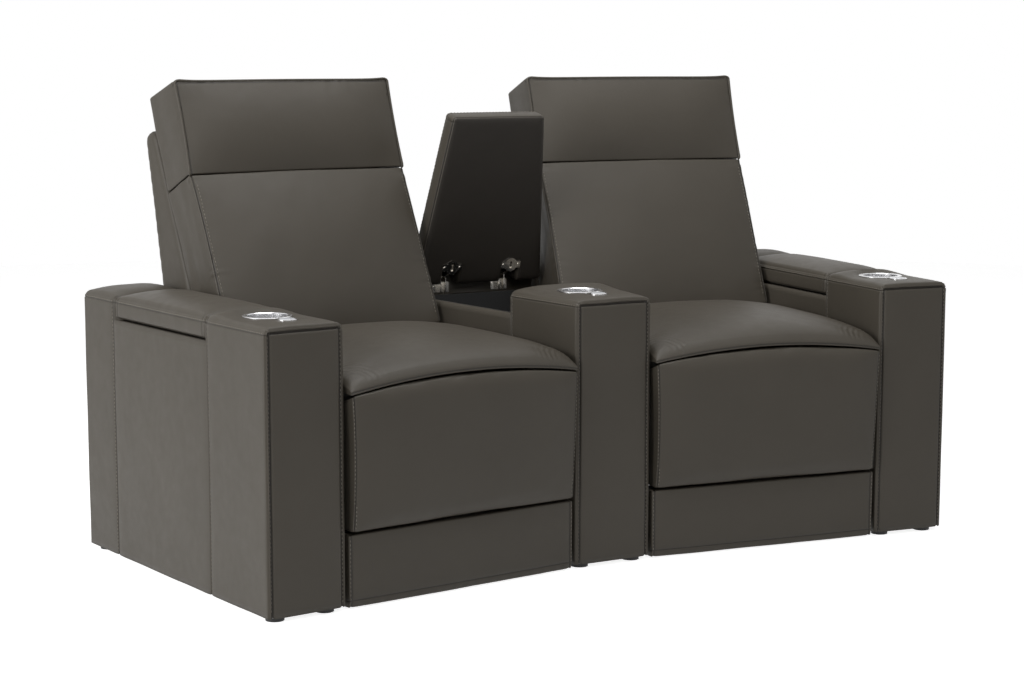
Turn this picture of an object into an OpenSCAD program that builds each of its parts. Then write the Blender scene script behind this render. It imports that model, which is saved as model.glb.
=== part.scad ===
// Two cinema recliner seats in a curved row, with three arms.
// Each arm holds a storage bin under a hinged lid, a cup holder and a control pad.

/* [Row] */
// Clear width between two arms
seat_gap = 610; // [560:1:680]
// Angle by which each seat turns in from the row's centre line
fan_angle = 6.84; // [4:0.02:9]
// Height of the glides under the arms
glide_h = 12; // [8:1:20]

/* [Arms] */
// Height of an arm from its underside to its side edges
arm_h = 603; // [590:1:730]
// Depth of an arm
arm_depth = 860; // [850:1:1040]
// Width of an outer arm
arm_w = 188; // [160:1:230]
// Width of the centre arm at its front
wedge_w = 198; // [165:1:240]
// Depth of the block in front of the lid
front_block = 253; // [215:1:300]
// Depth of the block behind the lid
rear_block = 167; // [140:1:200]
// Rise of the padded arm top over its side edges
arm_crown = 8; // [5:0.5:12]
// Rounding of the padded edges
arm_edge = 11; // [8:1:14]

/* [Storage bins] */
// Height of a lid's side face
lid_side = 51; // [44:1:60]
// Rise of the padded lid top
lid_crown = 14; // [8:1:20]
// Thickness of the bin's side walls
bin_wall = 20; // [14:1:26]
// Depth of a bin
bin_depth = 210; // [150:5:300]
// Angle at which the centre lid stands open
lid_open = 75; // [40:1:90]

/* [Cup holders] */
// Inside diameter of a cup holder
cup_d = 86; // [78:1:92]
// Depth of a cup holder
cup_depth = 75; // [55:1:95]
// Width of the cup holder's flange around its mouth
flange_w = 10; // [8:0.5:14]
// Gap between a cup holder's flange and the control pad
cup_apart = 8; // [3:0.5:14]
// Diameter of the control pad
control_d = 42; // [38:1:48]
// Distance of the control pad's edge from the arm's front
control_front = 49; // [40:1:52]

/* [Seat] */
// Gap between a seat cushion and an arm
cushion_gap = 9; // [6:0.5:20]
// Distance of the seat lip in front of the arms
lip_out = 18; // [10:1:24]
// Depth of the seat cushion with its lip
cushion_d = 580; // [560:1:600]
// Height of the cushion's underside over the arms' underside
cushion_z = 392; // [385:1:400]
// Thickness of the seat cushion at its sides
cushion_t = 122; // [105:1:130]
// Rise of the cushion's middle over its sides
cushion_crown = 27; // [15:1:32]
// Length that the seat glides forward
glide_travel = 100; // [60:5:110]

/* [Leg rest] */
// Length of a scissor link between its end pivots
link_l = 175; // [165:1:178]
// Angle of the folded links to the line that they travel
link_fold = 80; // [78:1:82]
// Thickness of the leg-rest pad
pad_t = 62; // [52:1:62]
// Height of the leg-rest pad's lower edge
pad_z = 160; // [158:1:175]
// Gap between the leg-rest pad and the seat's lip at their sides
pad_gap = 13; // [11:0.5:30]
// Gap between the kick board and the leg-rest pad
kick_gap = 7; // [5:0.5:20]

/* [Back] */
// Gap between a back and an arm
back_gap = 10; // [7:0.5:20]
// Lean of the lower back from upright
back_lean = 24.3; // [20:0.1:26]
// Height of the lower back along its lean
back_h = 409; // [360:1:450]
// Thickness of the back with its side panels
back_t = 128; // [118:1:136]
// Height of the headrest
head_h = 218; // [180:1:250]
// Lean of the headrest's front towards the sitter
head_lean = 6.5; // [3:0.1:9]

/* [Hidden] */

// Widths that follow the gap between two arms, and the small gaps used all over
cushion_w = seat_gap - 2 * cushion_gap;
back_w = seat_gap - 2 * back_gap;
overrun = 1;
soft_gap = 0.3;
joint_gap = 0.2;
corner_reach_share = 0.45;

// Case, lid and liner of an arm
lid_y = front_block;
lid_end = arm_depth - rear_block;
lid_gap = 3;
lid_rear_gap = 5;
lid_z = arm_h - lid_side;
well_end = 14;
liner_t = 2.5;
liner_gap = 0.3;
bin_rim_gap = 1.5;
lid_side_gap = 1.5;
lid_edge = 10;
lid_end_crown_share = 0.3;
arm_edge_share = 0.5;
panel_border = 15;
panel_sink = 1.6;
panel_corner = 12;
arm_steps = 4;
crown_steps = 6;

// Cup holder and control pad
cup_wall = 1.2;
cup_gap = 0.4;
cup_foot = 6;
flange_d = cup_d + 2 * flange_w;
control_back = control_front + control_d / 2;
cup_back = control_back + control_d / 2 + cup_apart + flange_d / 2;
flange_t = 2;
flange_sink = 3;
control_sink = 2.2;
control_top = arm_h + arm_crown - control_sink;
control_body_h = 13;
control_rim = 4.5;
control_floor = 3;
control_gap = 0.4;
key_gap = 0.6;
key_t = 5;
key_pin_r = 1.1;
key_pin_gap = 0.06;
key_web = 1.2;
key_under = 2.2;
key_axis_z = control_rim - key_under - key_t / 2;

// Lid hinges: the axis lies near the rear top edge of the lid
hinge_back = 8;
hinge_down = 7;
hinge_offset_share = 0.46;
hinge_pin_r = 2.5;
hinge_pin_gap = 0.06;
hinge_eye_r = 5;
hinge_round_share = 0.7;
round_reach = hinge_eye_r * hinge_round_share;
hinge_arm_w = 11;
hinge_cheek_t = 2.2;
hinge_cheek_gap = 0.5;
hinge_plate_w = 46;
hinge_plate_h = 26;
hinge_plate_t = 2;
hinge_box_d = 14;
hinge_box_drop = 10;
hinge_cup_r = 17.5;
hinge_cup_h = 11;
hinge_cup_back = 47;
hinge_wing_w = 54;
hinge_wing_d = 17;
hinge_wing_gap = 0.8;
hinge_screw_r = 3.6;
hinge_screw_h = 1.2;
notch_w = 52;
notch_d = 44;
notch_gap = 2;

// Base tracks
track_w = 30;
track_h = 40;
track_t = 3;
track_z = 18;
track_y = 40;
track_rear_gap = 60;
track_end = arm_depth - track_rear_gap;
bar_w = 25;
front_bar_y = 60;
rear_bar_gap = 120;
rear_bar_y = arm_depth - rear_bar_gap;
kick_y = 5;
kick_t = 26;
kick_low = 8;
kick_h = pad_z + kick_low - kick_gap;
kick_crown = 4;
kick_tab_t = 3;
kick_tab_w = 60;
kick_tab_x = seat_gap / 3;
kick_edge = 4;

// Leg-rest pad with its board. The pad reaches up behind the seat's lip, into the room under it.
pad_lead = 2;
pad_edge = 6;
pad_draw = 3;
pad_crown = 6;
pad_arch = 20;
seat_lip_share = 0.557;
pad_h = cushion_z + seat_lip_share * cushion_t - pad_gap - pad_z;
pad_back = pad_t - lip_out - pad_lead;
lip_room = 34.28;
leg_board_t = 15;
leg_board_low = 20;
leg_board_short = 67;
leg_board_y = pad_back + soft_gap;

// Carriage: plates carry the links, and slide blocks run in the tracks
frame_lead = 22.7;
frame_y = leg_board_y + leg_board_t + frame_lead;
cushion_over = 6;
frame_end = cushion_d - lip_out - cushion_over;
slide_gap = 1;
slide_room = 60;
slide_tail = 64;
slide_y = track_y + glide_travel + slide_room;
slide_end = frame_end + slide_tail;
recline_back = 44;
recline_drop = 62;
recline_axis = [frame_end + recline_back, cushion_z - recline_drop];
plate_in = 33;
plate_t = 4;
plate_front = 22;
plate_foot = 33;
plate_back = 33;
window_lead = 90;
window_rim = 40;
layer_gap = 1;
board_w = 24;
board_h = 28;
spring_d = 3;
spring_count = 5;
spring_turns = 9;
spring_wave = 26;
spring_drop = 9;

// Link layers, inwards from the carriage plates
link_t = 4;
link_r = 11;
plate_x = seat_gap / 2 - plate_in - plate_t;
outer_layer = plate_x - layer_gap - link_t;
inner_layer = outer_layer - layer_gap - link_t;
bracket_layer = inner_layer - layer_gap - link_t;
tube_r = 11;
tube_gap = 0.08;
link_pin_r = 4;
link_pin_gap = 0.06;
open_pin_gap = 0.4;
pin_head_r = 7;
pin_head_t = 1.6;

// Leg-rest path: the panel's pivot travels on a line that drops a little
pivot_back = 63;
pivot_drop = 52;
panel_pivot = [pad_back + pivot_back, cushion_z - pivot_drop];
path_drop = 3.915;
path_dir = [-cos(path_drop), -sin(path_drop)];
path_down = [sin(path_drop), -cos(path_drop)];
link_pivot = panel_pivot - 2 * link_l * cos(link_fold) * path_dir;
link_elbow = link_pivot + link_l * (cos(link_fold) * path_dir + sin(link_fold) * path_down);
link_top = link_pivot + link_l * cos(link_fold) * path_dir;
link_low = link_pivot + link_l * sin(link_fold) * path_down;
link_mid = (link_pivot + link_elbow) / 2;
far_mid = (link_elbow + panel_pivot) / 2;
slot_top = link_pivot + link_l * sin(link_fold / 4) * path_down;
bracket_drop = 87;

// Back: its foot is the lower front edge, and its arms turn on the recline axis
back_over = 40;
back_under = 12;
back_foot = [cushion_d - lip_out - back_over, cushion_z + cushion_t - back_under];
back_edge = 7;
back_draw = 4;
back_wing = 25;
pocket_half = back_w / 2 - back_wing;
pocket_depth = 44;
pocket_front = back_t - pocket_depth;
pocket_roof = 13;
pocket_top = back_h - pocket_roof;
stile_w = 30;
stile_t = 26;
stile_foot = 6;
rail_h = 34;
back_arm_t = 4;
back_arm_r = 22;
back_crown = 20;
head_gap = 5.5;
head_axis_in = 14;
head_axis = [head_axis_in, back_h + head_gap / 2];
head_crown = 14;
head_arch = 6;
head_lead_share = head_h * tan(head_lean) / back_t;
leaf_half = back_w / 3;
leaf_t = 1.6;
leaf_step = 3.2;
leaf_y = head_axis_in + leaf_step;
leaf_end_gap = 8.8;
leaf_reach = back_t - leaf_y - leaf_end_gap;
knuckle_r = 2.5;
knuckle_gap = 0.5;
knuckle_pin_r = 1.2;
knuckle_pin_gap = 0.06;
knuckle_count = 9;
flange_drop = 56;
flange_gap = 1;
flange_y = pocket_front + stile_t + 2 * soft_gap;
post_r = 8;
post_h = head_h / 2;
post_x = leaf_half * 2 / 3;
post_in = 18;
post_y = pocket_front - post_in;
post_gap = 0.3;
shell_drop = 142;
shell_rise = 170;
shell_depth = 212;
shell_in = 3;
shell_crown = 6;
shell_top_share = 0.18;
motor_r = 24;
motor_l = 110;
gearbox_w = 60;
gearbox_r = 30;
foot_r = 20;
foot_in = 34;

// The arms' front corners and the back shells' rear corners set the origin between them.
// Their rounding keeps each of them a little short.
shell_short = 2.773;
shell_corner = from_back([back_t + soft_gap + shell_top_share * shell_depth, back_h + shell_rise]);
row_front = -(seat_gap + arm_w - arm_edge * arm_edge_share) * sin(fan_angle);
row_rear = shell_corner.x * cos(fan_angle) - back_gap * sin(fan_angle) - shell_short;
row_shift = -(row_front + row_rear) / 2;

// Windows in the carriage plates, between the leg-rest links and the seat frame's rear board
window_shares = [0, 0.4, 0.52, 1];
window_start = link_pivot.x + window_lead;
window_y = [for (w = window_shares) window_start + w * (frame_end - board_w - window_start)];
window_z = [track_z + track_h + window_rim, cushion_z - board_h - window_rim];

// Corners of the padded profiles. Each row gives, as shares of the pad's own
// depth, height, rounding, crown and arch: across, up, radius, crown, arch.
lip_room_share = (pad_t + lip_room) / cushion_d;
seat_shares = [
    [0.000, seat_lip_share, 0.040, 0.15, 0.90], [0.008, 0.760, 0.110, 0.15, 0.95],
    [0.170, 0.915, 0.300, 0.00, 1.00], [0.400, 1.000, 0.500, 0.00, 1.00],
    [0.660, 0.985, 0.500, 0.00, 0.75], [0.915, 0.895, 0.120, 0.00, 0.30],
    [0.990, 0.640, 0.140, 0.00, 0.00], [1.000, 0.000, 0.080, 0.00, 0.00],
    [lip_room_share, 0.000, 0.080, 0.00, 0.00], [lip_room_share - 0.006, 0.430, 0.090, 0.00, 0.30],
    [lip_room_share - 0.056, 0.600, 0.060, 0.00, 0.60]
];
leg_shares = [
    [0.000, 0.000, 0.200, 0.50, 0.00], [1.000, 0.000, 0.160, 0.00, 0.00],
    [1.000, 0.850, 0.120, 0.00, 0.00], [0.960, 0.910, 0.120, 0.00, 0.20],
    [0.480, 0.968, 0.200, 0.00, 0.80], [0.070, 0.995, 0.140, 0.30, 1.00],
    [0.000, 0.930, 0.300, 0.70, 1.00], [-0.03, 0.500, 2.000, 1.00, 0.30]
];
kick_shares = [
    [0.000, 0.000, 0.150, 0.00, 0.00], [1.000, 0.000, 0.080, 0.00, 0.00],
    [1.000, 1.000, 0.080, 0.00, 0.00], [0.000, 1.000, 0.300, 0.00, 0.00],
    [-0.02, 0.500, 3.000, 1.00, 0.00]
];
back_shares = [
    [0.060, 0.000, 0.140, 0.40, 0.00], [1.000, 0.000, 0.100, 0.00, 0.00],
    [1.000, 1.000, 0.060, 0.00, 0.00], [0.000, 1.000, 0.190, 0.60, 0.00],
    [-0.04, 0.550, 1.500, 1.00, 0.00], [-0.02, 0.180, 0.800, 1.00, 0.00]
];
head_shares = [
    [0.000, 0.000, 0.190, 0.50, 0.00], [1.000, 0.000, 0.100, 0.00, 0.00],
    [0.975, 0.650, 0.600, 0.00, 0.00], [0.880, 1.062, 0.080, 0.00, 0.20],
    [-head_lead_share, 1.000, 0.090, 0.50, 0.40], [-head_lead_share * 0.72, 0.550, 1.500, 1.00, 0.00]
];
shell_shares = [
    [0.651, 0.000, 0.100, 0.00, 0.00], [1.000, 0.047, 0.200, 0.00, 0.00],
    [0.800, 0.230, 1.200, 0.50, 0.00], [0.555, 0.524, 2.000, 1.00, 0.00],
    [0.340, 0.786, 1.200, 0.80, 0.00], [shell_top_share, 1.000, 0.100, 0.40, 0.00],
    [0.000, 0.997, 0.050, 0.00, 0.00], [0.000, 0.204, 0.150, 0.00, 0.00],
    [0.280, 0.077, 0.100, 0.00, 0.00], [0.462, 0.033, 0.100, 0.00, 0.00]
];
// Rise of the seat's front with its crown, and the foot of a steel back arm round its bore
seat_front_share = 0.25;
back_arm_shares = [[-1, 0.5], [-0.5, -1], [0.5, -1], [1, 0.5]];
// Stations across a pad's half width, with the share of the edge inset at each
station_shares = [[1, 1], [0.982, 0.42], [0.945, 0.12], [0.86, 0], [0.55, 0], [0.2, 0]];

leather = [0.27, 0.26, 0.23];
dark_leather = [0.20, 0.19, 0.17];
steel = [0.72, 0.73, 0.75];
black_steel = [0.13, 0.13, 0.14];
timber = [0.72, 0.58, 0.40];
black_plastic = [0.10, 0.10, 0.11];

// Points of an arc, and of a polygon with its corners rounded
function arc_points(centre, r, from, sweep, n) =
    [for (i = [0 : n]) centre + r * [cos(from + sweep * i / n), sin(from + sweep * i / n)]];

function corner_arc(a, b, c, r, n) =
    let (
        u = (a - b) / norm(a - b), v = (c - b) / norm(c - b),
        half = acos(u * v) / 2,
        reach = min(r, corner_reach_share * min(norm(a - b), norm(c - b)) * tan(half)),
        m = (u + v) / norm(u + v),
        centre = b + m * reach / sin(half),
        p = b + u * reach / tan(half) - centre,
        q = b + v * reach / tan(half) - centre,
        from = atan2(p.y, p.x),
        sweep = (atan2(q.y, q.x) - from + 540) % 360 - 180
    )
    arc_points(centre, reach, from, sweep, n);

function rounded(points, r, n) =
    let (k = len(points))
    [for (i = [0 : k - 1]) each corner_arc(points[(i + k - 1) % k], points[i], points[(i + 1) % k], r, n)];

// Faces of a stack of rings that all have n points
function stack_faces(rings, n, flip) =
    let (
        sides = [for (k = [0 : rings - 2], j = [0 : n - 1])
            let (a = k * n + j, b = k * n + (j + 1) % n) each [[a, b, b + n], [a, b + n, a + n]]],
        ends = [[for (j = [n - 1 : -1 : 0]) j], [for (j = [0 : n - 1]) (rings - 1) * n + j]],
        faces = concat(sides, ends)
    )
    flip ? [for (f = faces) [for (j = [len(f) - 1 : -1 : 0]) f[j]]] : faces;

// A padded form with its profile in the y and z plane, stacked across its width
module pad(shares, steps, start, size, width, crown, arch, edge, draw) {
    unit = min(size.x, size.y);
    corners = [for (c = shares) [start.x + c[0] * size.x, start.y + c[1] * size.y]];
    k = len(corners);
    outline = [for (i = [0 : k - 1])
        let (arc = corner_arc(corners[(i + k - 1) % k], corners[i], corners[(i + 1) % k],
                              shares[i][2] * unit, steps))
        for (p = arc) [p.x, p.y, shares[i][3], shares[i][4]]];
    mid = start + size / 2;
    far_half = [for (i = [len(station_shares) - 1 : -1 : 0]) [-station_shares[i][0], station_shares[i][1]]];
    stations = concat(station_shares, far_half);
    points = [for (s = stations, p = outline)
        let (
            swell = 1 - s[0] * s[0],
            along = size.x > size.y ? (p.x - mid.x) * 2 / size.x : (p.y - mid.y) * 2 / size.y,
            pull = draw * max(0, 1 - along * along),
            y = p.x - crown * swell * p[2],
            z = p.y + arch * swell * p[3],
            inset = edge * s[1]
        )
        [-s[0] * (width / 2 - pull),
         mid.x + (y - mid.x) * (1 - 2 * inset / size.x),
         mid.y + (z - mid.y) * (1 - 2 * inset / size.y)]];
    polyhedron(points, stack_faces(len(stations), len(outline), true));
}

// Cross section of an upholstered box, seen from its front
function box_section(half, low, high, r, crown) =
    let (flat = half - r)
    concat(
        [[half, low]],
        arc_points([flat, high - r], r, 0, 90, arm_steps),
        [for (i = [1 : crown_steps - 1])
            let (x = flat * (1 - 2 * i / crown_steps)) [x, high + crown * (1 - pow(x / flat, 2))]],
        arc_points([-flat, high - r], r, 90, 90, arm_steps),
        [[-half, low]]
    );

// A box of such sections. Each station gives its depth, its half width and its inset.
module upholstered_box(stations, high, r, crown, end_crown_share) {
    first = stations[0][0];
    last = stations[len(stations) - 1][0];
    rings = [for (s = stations)
        let (
            along = 2 * (s[0] - first) / (last - first) - 1,
            rise = crown * (1 - (1 - end_crown_share) * along * along)
        )
        [for (p = box_section(s[1] - s[2], 0, high - s[2], r, rise)) [p.x, s[0], p.y]]];
    polyhedron([for (ring = rings) each ring], stack_faces(len(rings), len(rings[0]), false));
}

// The row's frame, the frame of one seat, and the frame of one arm
module in_row() { translate([0, row_shift, glide_h]) children(); }

module in_seat(side) {
    in_row() mirror([side < 0 ? 1 : 0, 0, 0])
        translate([wedge_w / 2, 0, 0]) rotate([0, 0, -fan_angle]) translate([seat_gap / 2, 0, 0]) children();
}

module in_arm(arm) {
    if (arm == 0) in_row() children();
    else in_seat(arm) translate([(seat_gap + arm_w) / 2, 0, 0]) children();
}

function arm_half(arm, y) = arm == 0 ? wedge_w / 2 + y * tan(fan_angle) : arm_w / 2;

// Turns a flat outline of y and z into a plate that is thick along x
module side_plate(x, thick) { translate([x, 0, 0]) rotate([90, 0, 90]) linear_extrude(thick) children(); }
module side_bore(x, length, at, r) {
    translate([x, at.x, at.y]) rotate([0, 90, 0]) cylinder(h = length, r = r, $fn = 48);
}
module both_sides() { children(); mirror([1, 0, 0]) children(); }

module arm_plan(arm, y0, y1, inset) {
    polygon([[-arm_half(arm, y0) + inset, y0], [arm_half(arm, y0) - inset, y0],
             [arm_half(arm, y1) - inset, y1], [-arm_half(arm, y1) + inset, y1]]);
}

// Upholstered case of an arm, open for the bin, the cup holder and the control pad
module arm_case(arm) {
    cup_top = arm_h + arm_crown - flange_sink;
    soft = arm_edge * arm_edge_share;
    color(leather) in_arm(arm) difference() {
        upholstered_box([
            [0, arm_half(arm, 0), soft],
            [soft, arm_half(arm, soft), 0],
            [arm_depth - soft, arm_half(arm, arm_depth - soft), 0],
            [arm_depth, arm_half(arm, arm_depth), soft]
        ], arm_h, arm_edge, arm_crown, 1);
        translate([-arm_depth / 2, lid_y, lid_z - bin_rim_gap])
            cube([arm_depth, lid_end - lid_y + lid_rear_gap, lid_side + arm_h]);
        translate([0, 0, lid_z - bin_depth]) linear_extrude(bin_depth + lid_side)
            arm_plan(arm, lid_y + well_end, lid_end - well_end, bin_wall);
        translate([0, cup_back, cup_top - cup_depth - flange_sink])
            cylinder(h = cup_depth + arm_h, d = cup_d + 2 * (cup_wall + cup_gap), $fn = 96);
        translate([0, cup_back, cup_top]) cylinder(h = arm_h, d = flange_d + 2 * cup_gap, $fn = 96);
        translate([0, control_back, arm_h + arm_crown - control_sink - control_body_h])
            cylinder(h = arm_h, d = control_d + 2 * control_gap, $fn = 64);
        translate([0, panel_sink, 0]) rotate([90, 0, 0]) linear_extrude(arm_edge)
            polygon(rounded([
                [-arm_half(arm, 0) + panel_border, -panel_border],
                [arm_half(arm, 0) - panel_border, -panel_border],
                [arm_half(arm, 0) - panel_border, arm_h - panel_border],
                [-arm_half(arm, 0) + panel_border, arm_h - panel_border]], panel_corner, 4));
    }
}

// Moulded tub that lines a bin
module bin_liner(arm) {
    out = bin_wall + liner_gap;
    end = well_end + liner_gap;
    color(black_plastic) in_arm(arm) translate([0, 0, lid_z - bin_depth + liner_gap]) difference() {
        linear_extrude(bin_depth - liner_gap - bin_rim_gap) arm_plan(arm, lid_y + end, lid_end - end, out);
        translate([0, 0, liner_t]) linear_extrude(bin_depth)
            arm_plan(arm, lid_y + end + liner_t, lid_end - end - liner_t, out + liner_t);
    }
}

// The lid's own hinge axis, and the turn that the centre lid stands at
function hinge_at() = [lid_end - hinge_back, arm_h - hinge_down];
function hinge_x(arm) = min(arm_half(arm, lid_end) * hinge_offset_share,
    arm_half(arm, lid_end) - bin_wall - liner_gap - liner_t - hinge_wing_gap - hinge_wing_w / 2);

module lid_turn(arm) {
    at = [0, hinge_at().x, hinge_at().y];
    translate(at) rotate([arm == 0 ? -lid_open : 0, 0, 0]) translate(-at) children();
}

// Padded lid with a flat underside, bored for the hinge cups
module arm_lid(arm) {
    soft = lid_edge / 2;
    color(leather) in_arm(arm) lid_turn(arm) difference() {
        translate([0, 0, lid_z]) upholstered_box([
            [lid_y + lid_gap, arm_half(arm, lid_y) - lid_side_gap, soft],
            [lid_y + lid_gap + soft / 3, arm_half(arm, lid_y) - lid_side_gap, soft / 3],
            [lid_y + lid_gap + soft, arm_half(arm, lid_y + soft) - lid_side_gap, 0],
            [(lid_y * 3 + lid_end) / 4, arm_half(arm, (lid_y * 3 + lid_end) / 4) - lid_side_gap, 0],
            [(lid_y + lid_end) / 2, arm_half(arm, (lid_y + lid_end) / 2) - lid_side_gap, 0],
            [(lid_y + lid_end * 3) / 4, arm_half(arm, (lid_y + lid_end * 3) / 4) - lid_side_gap, 0],
            [lid_end - soft, arm_half(arm, lid_end - soft) - lid_side_gap, 0],
            [lid_end - soft / 3, arm_half(arm, lid_end) - lid_side_gap, soft / 3],
            [lid_end, arm_half(arm, lid_end) - lid_side_gap, soft]
        ], lid_side, lid_edge, lid_crown, lid_end_crown_share);
        for (s = [-1, 1]) translate([s * hinge_x(arm), 0, 0]) {
            translate([-notch_w / 2, lid_end - notch_d, lid_z - overrun])
                cube([notch_w, notch_d + lid_edge, hinge_at().y - lid_z + hinge_eye_r + notch_gap + overrun]);
            translate([0, lid_end - hinge_cup_back, lid_z - overrun])
                cylinder(h = hinge_cup_h + notch_gap, r = hinge_cup_r + hinge_pin_gap, $fn = 48);
        }
    }
}

// Cup, wings and arm of a concealed hinge, fixed in the lid
module hinge_cups(arm) {
    at = hinge_at();
    cup_y = lid_end - hinge_cup_back;
    color(steel) in_arm(arm) lid_turn(arm) for (s = [-1, 1]) translate([s * hinge_x(arm), 0, 0]) {
        difference() {
            union() {
                translate([0, cup_y, lid_z - hinge_plate_t]) cylinder(h = hinge_cup_h + hinge_plate_t,
                    r = hinge_cup_r - hinge_pin_gap, $fn = 48);
                translate([-hinge_wing_w / 2, cup_y - hinge_wing_d / 2, lid_z - hinge_plate_t])
                    cube([hinge_wing_w, hinge_wing_d, hinge_plate_t]);
                for (k = [-1, 1]) translate([k * (hinge_wing_w / 2 - hinge_wing_d / 3), cup_y,
                                             lid_z - hinge_plate_t - hinge_screw_h])
                    cylinder(h = hinge_screw_h + hinge_plate_t / 2, r = hinge_screw_r, $fn = 24);
                side_plate(-hinge_arm_w / 2, hinge_arm_w) polygon([
                    at + round_reach * [-1, 1], at + round_reach * [1, -1],
                    [cup_y + hinge_cup_r * hinge_round_share, lid_z - hinge_plate_t],
                    [cup_y, lid_z - hinge_plate_t], [cup_y, lid_z + hinge_cup_h / 2]]);
                side_bore(-hinge_arm_w / 2, hinge_arm_w, at, hinge_eye_r);
            }
            side_bore(-hinge_arm_w, 2 * hinge_arm_w, at, hinge_pin_r + hinge_pin_gap);
            translate([-hinge_arm_w / 4, cup_y - hinge_cup_r / 2, lid_z - hinge_plate_t - overrun])
                cube([hinge_arm_w / 2, hinge_cup_r, hinge_cup_h / 2]);
        }
    }
}

// Mounting plates, link boxes and pins of the concealed hinges on the rear blocks
module hinge_plates() {
    at = hinge_at();
    wall = lid_end + lid_rear_gap;
    cheek_x = hinge_arm_w / 2 + hinge_cheek_gap;
    plate_low = lid_z + hinge_plate_t;
    color(steel) for (arm = [-1, 0, 1]) in_arm(arm) for (s = [-1, 1]) translate([s * hinge_x(arm), 0, 0]) {
        difference() {
            translate([-hinge_plate_w / 2, wall - hinge_plate_t, plate_low])
                cube([hinge_plate_w, hinge_plate_t, hinge_plate_h]);
            translate([-hinge_arm_w / 4, wall - 2 * hinge_plate_t, plate_low - overrun])
                cube([hinge_arm_w / 2, 3 * hinge_plate_t, hinge_plate_h / 4]);
        }
        for (k = [-1, 1]) {
            translate([k * (hinge_plate_w / 2 - hinge_screw_r - hinge_screw_h), wall - hinge_plate_t,
                       plate_low + hinge_plate_h / 2])
                rotate([90, 0, 0]) cylinder(h = hinge_screw_h, r = hinge_screw_r, $fn = 24);
            side_plate(k > 0 ? cheek_x : -cheek_x - hinge_cheek_t, hinge_cheek_t) polygon([
                [wall - hinge_plate_t, plate_low], [wall - hinge_plate_t, at.y - hinge_box_drop],
                [at.x + hinge_eye_r, at.y - hinge_box_drop / 2], at + [hinge_eye_r, 0],
                at + round_reach * [1, 1], at + [0, hinge_eye_r], at + round_reach * [-1, 1],
                at - [hinge_eye_r, 0],
                [at.x - hinge_eye_r, plate_low + hinge_plate_h / 2], [wall - hinge_box_d, plate_low]]);
        }
        side_bore(-cheek_x - hinge_cheek_t, 2 * (cheek_x + hinge_cheek_t), at, hinge_pin_r);
    }
}

// Spun steel cup holder with a rolled flange
module cup_holder(arm) {
    r = cup_d / 2;
    color(steel) in_arm(arm) translate([0, cup_back, arm_h + arm_crown - flange_sink])
        rotate_extrude($fn = 96) polygon([
            [0, -cup_depth - cup_wall], [r + cup_wall - cup_foot, -cup_depth - cup_wall],
            [r + cup_wall, -cup_depth - cup_wall + cup_foot], [r + cup_wall, 0],
            [flange_d / 2, 0], [flange_d / 2, flange_t / 2], [flange_d / 2 - flange_t, flange_t],
            [r + cup_wall, flange_t], [r, flange_t - cup_wall], [r, -cup_depth + cup_foot],
            [r - cup_foot, -cup_depth], [0, -cup_depth]]);
}

// Round control pad: a bezel cup with a web and the pins of its two keys
module control_pad(arm) {
    key_r = control_d / 2 - control_rim;
    floor_z = key_axis_z - key_t / 2 - key_under;
    color(steel) in_arm(arm) translate([0, control_back, control_top]) {
        rotate_extrude($fn = 64) polygon([
            [0, -control_body_h], [control_d / 2 - control_gap, -control_body_h],
            [control_d / 2, -control_body_h + control_floor], [control_d / 2, control_rim / 3],
            [control_d / 2 - control_rim / 3, control_rim / 2], [key_r, control_rim / 3],
            [key_r, floor_z], [0, floor_z]]);
        translate([-key_web / 2, -key_r - control_gap, floor_z - overrun])
            cube([key_web, 2 * (key_r + control_gap), key_axis_z - floor_z + overrun + key_t / 4]);
        side_bore(-key_r - control_gap, 2 * (key_r + control_gap), [0, key_axis_z], key_pin_r);
    }
}

// One half-round rocker key of a control pad, to the left or the right of the web
module rocker_key(arm, hand) {
    key_r = control_d / 2 - control_rim - key_gap;
    color(black_plastic) in_arm(arm) translate([0, control_back, control_top]) difference() {
        translate([0, 0, key_axis_z - key_t / 2]) intersection() {
            cylinder(h = key_t, r = key_r, $fn = 64);
            translate([hand > 0 ? key_web / 2 + key_gap / 2 : -key_web / 2 - key_gap / 2 - key_r, -key_r, 0])
                cube([key_r, 2 * key_r, key_t]);
        }
        side_bore(-key_r - overrun, 2 * (key_r + overrun), [0, key_axis_z], key_pin_r + key_pin_gap);
    }
}

// Glides under the arms, four to an arm
module glides() {
    color(black_plastic) for (arm = [-1, 0, 1], y = [foot_in, arm_depth - foot_in], s = [-1, 1])
        in_arm(arm) translate([s * (arm_half(arm, y) - foot_in), y, -glide_h])
            cylinder(h = glide_h, r = foot_r, $fn = 32);
}

// Steel tracks bolted between the arms, with two cross bars and the kick board's tabs
module base_frame(side) {
    half = seat_gap / 2 - joint_gap;
    color(black_steel) in_seat(side) {
        both_sides() translate([half - track_w, track_y, track_z]) difference() {
            cube([track_w, track_end - track_y, track_h]);
            translate([-overrun, -overrun, track_t])
                cube([track_w - track_t + overrun, track_end - track_y + 2 * overrun, track_h - 2 * track_t]);
        }
        for (y = [front_bar_y, rear_bar_y]) translate([-half + track_w + joint_gap, y, track_z])
            cube([2 * (half - track_w - joint_gap), bar_w, bar_w]);
        both_sides() translate([kick_tab_x, kick_y + kick_t + joint_gap, track_z]) {
            cube([kick_tab_w, front_bar_y - kick_y - kick_t - 2 * joint_gap, kick_tab_t]);
            cube([kick_tab_w, kick_tab_t, kick_h / 2]);
        }
    }
}

module kick_board(side) {
    color(leather) in_seat(side)
        pad(kick_shares, 2, [kick_y, -kick_low], [kick_t, kick_h], cushion_w, kick_crown, 0, kick_edge, 0);
}

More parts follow.
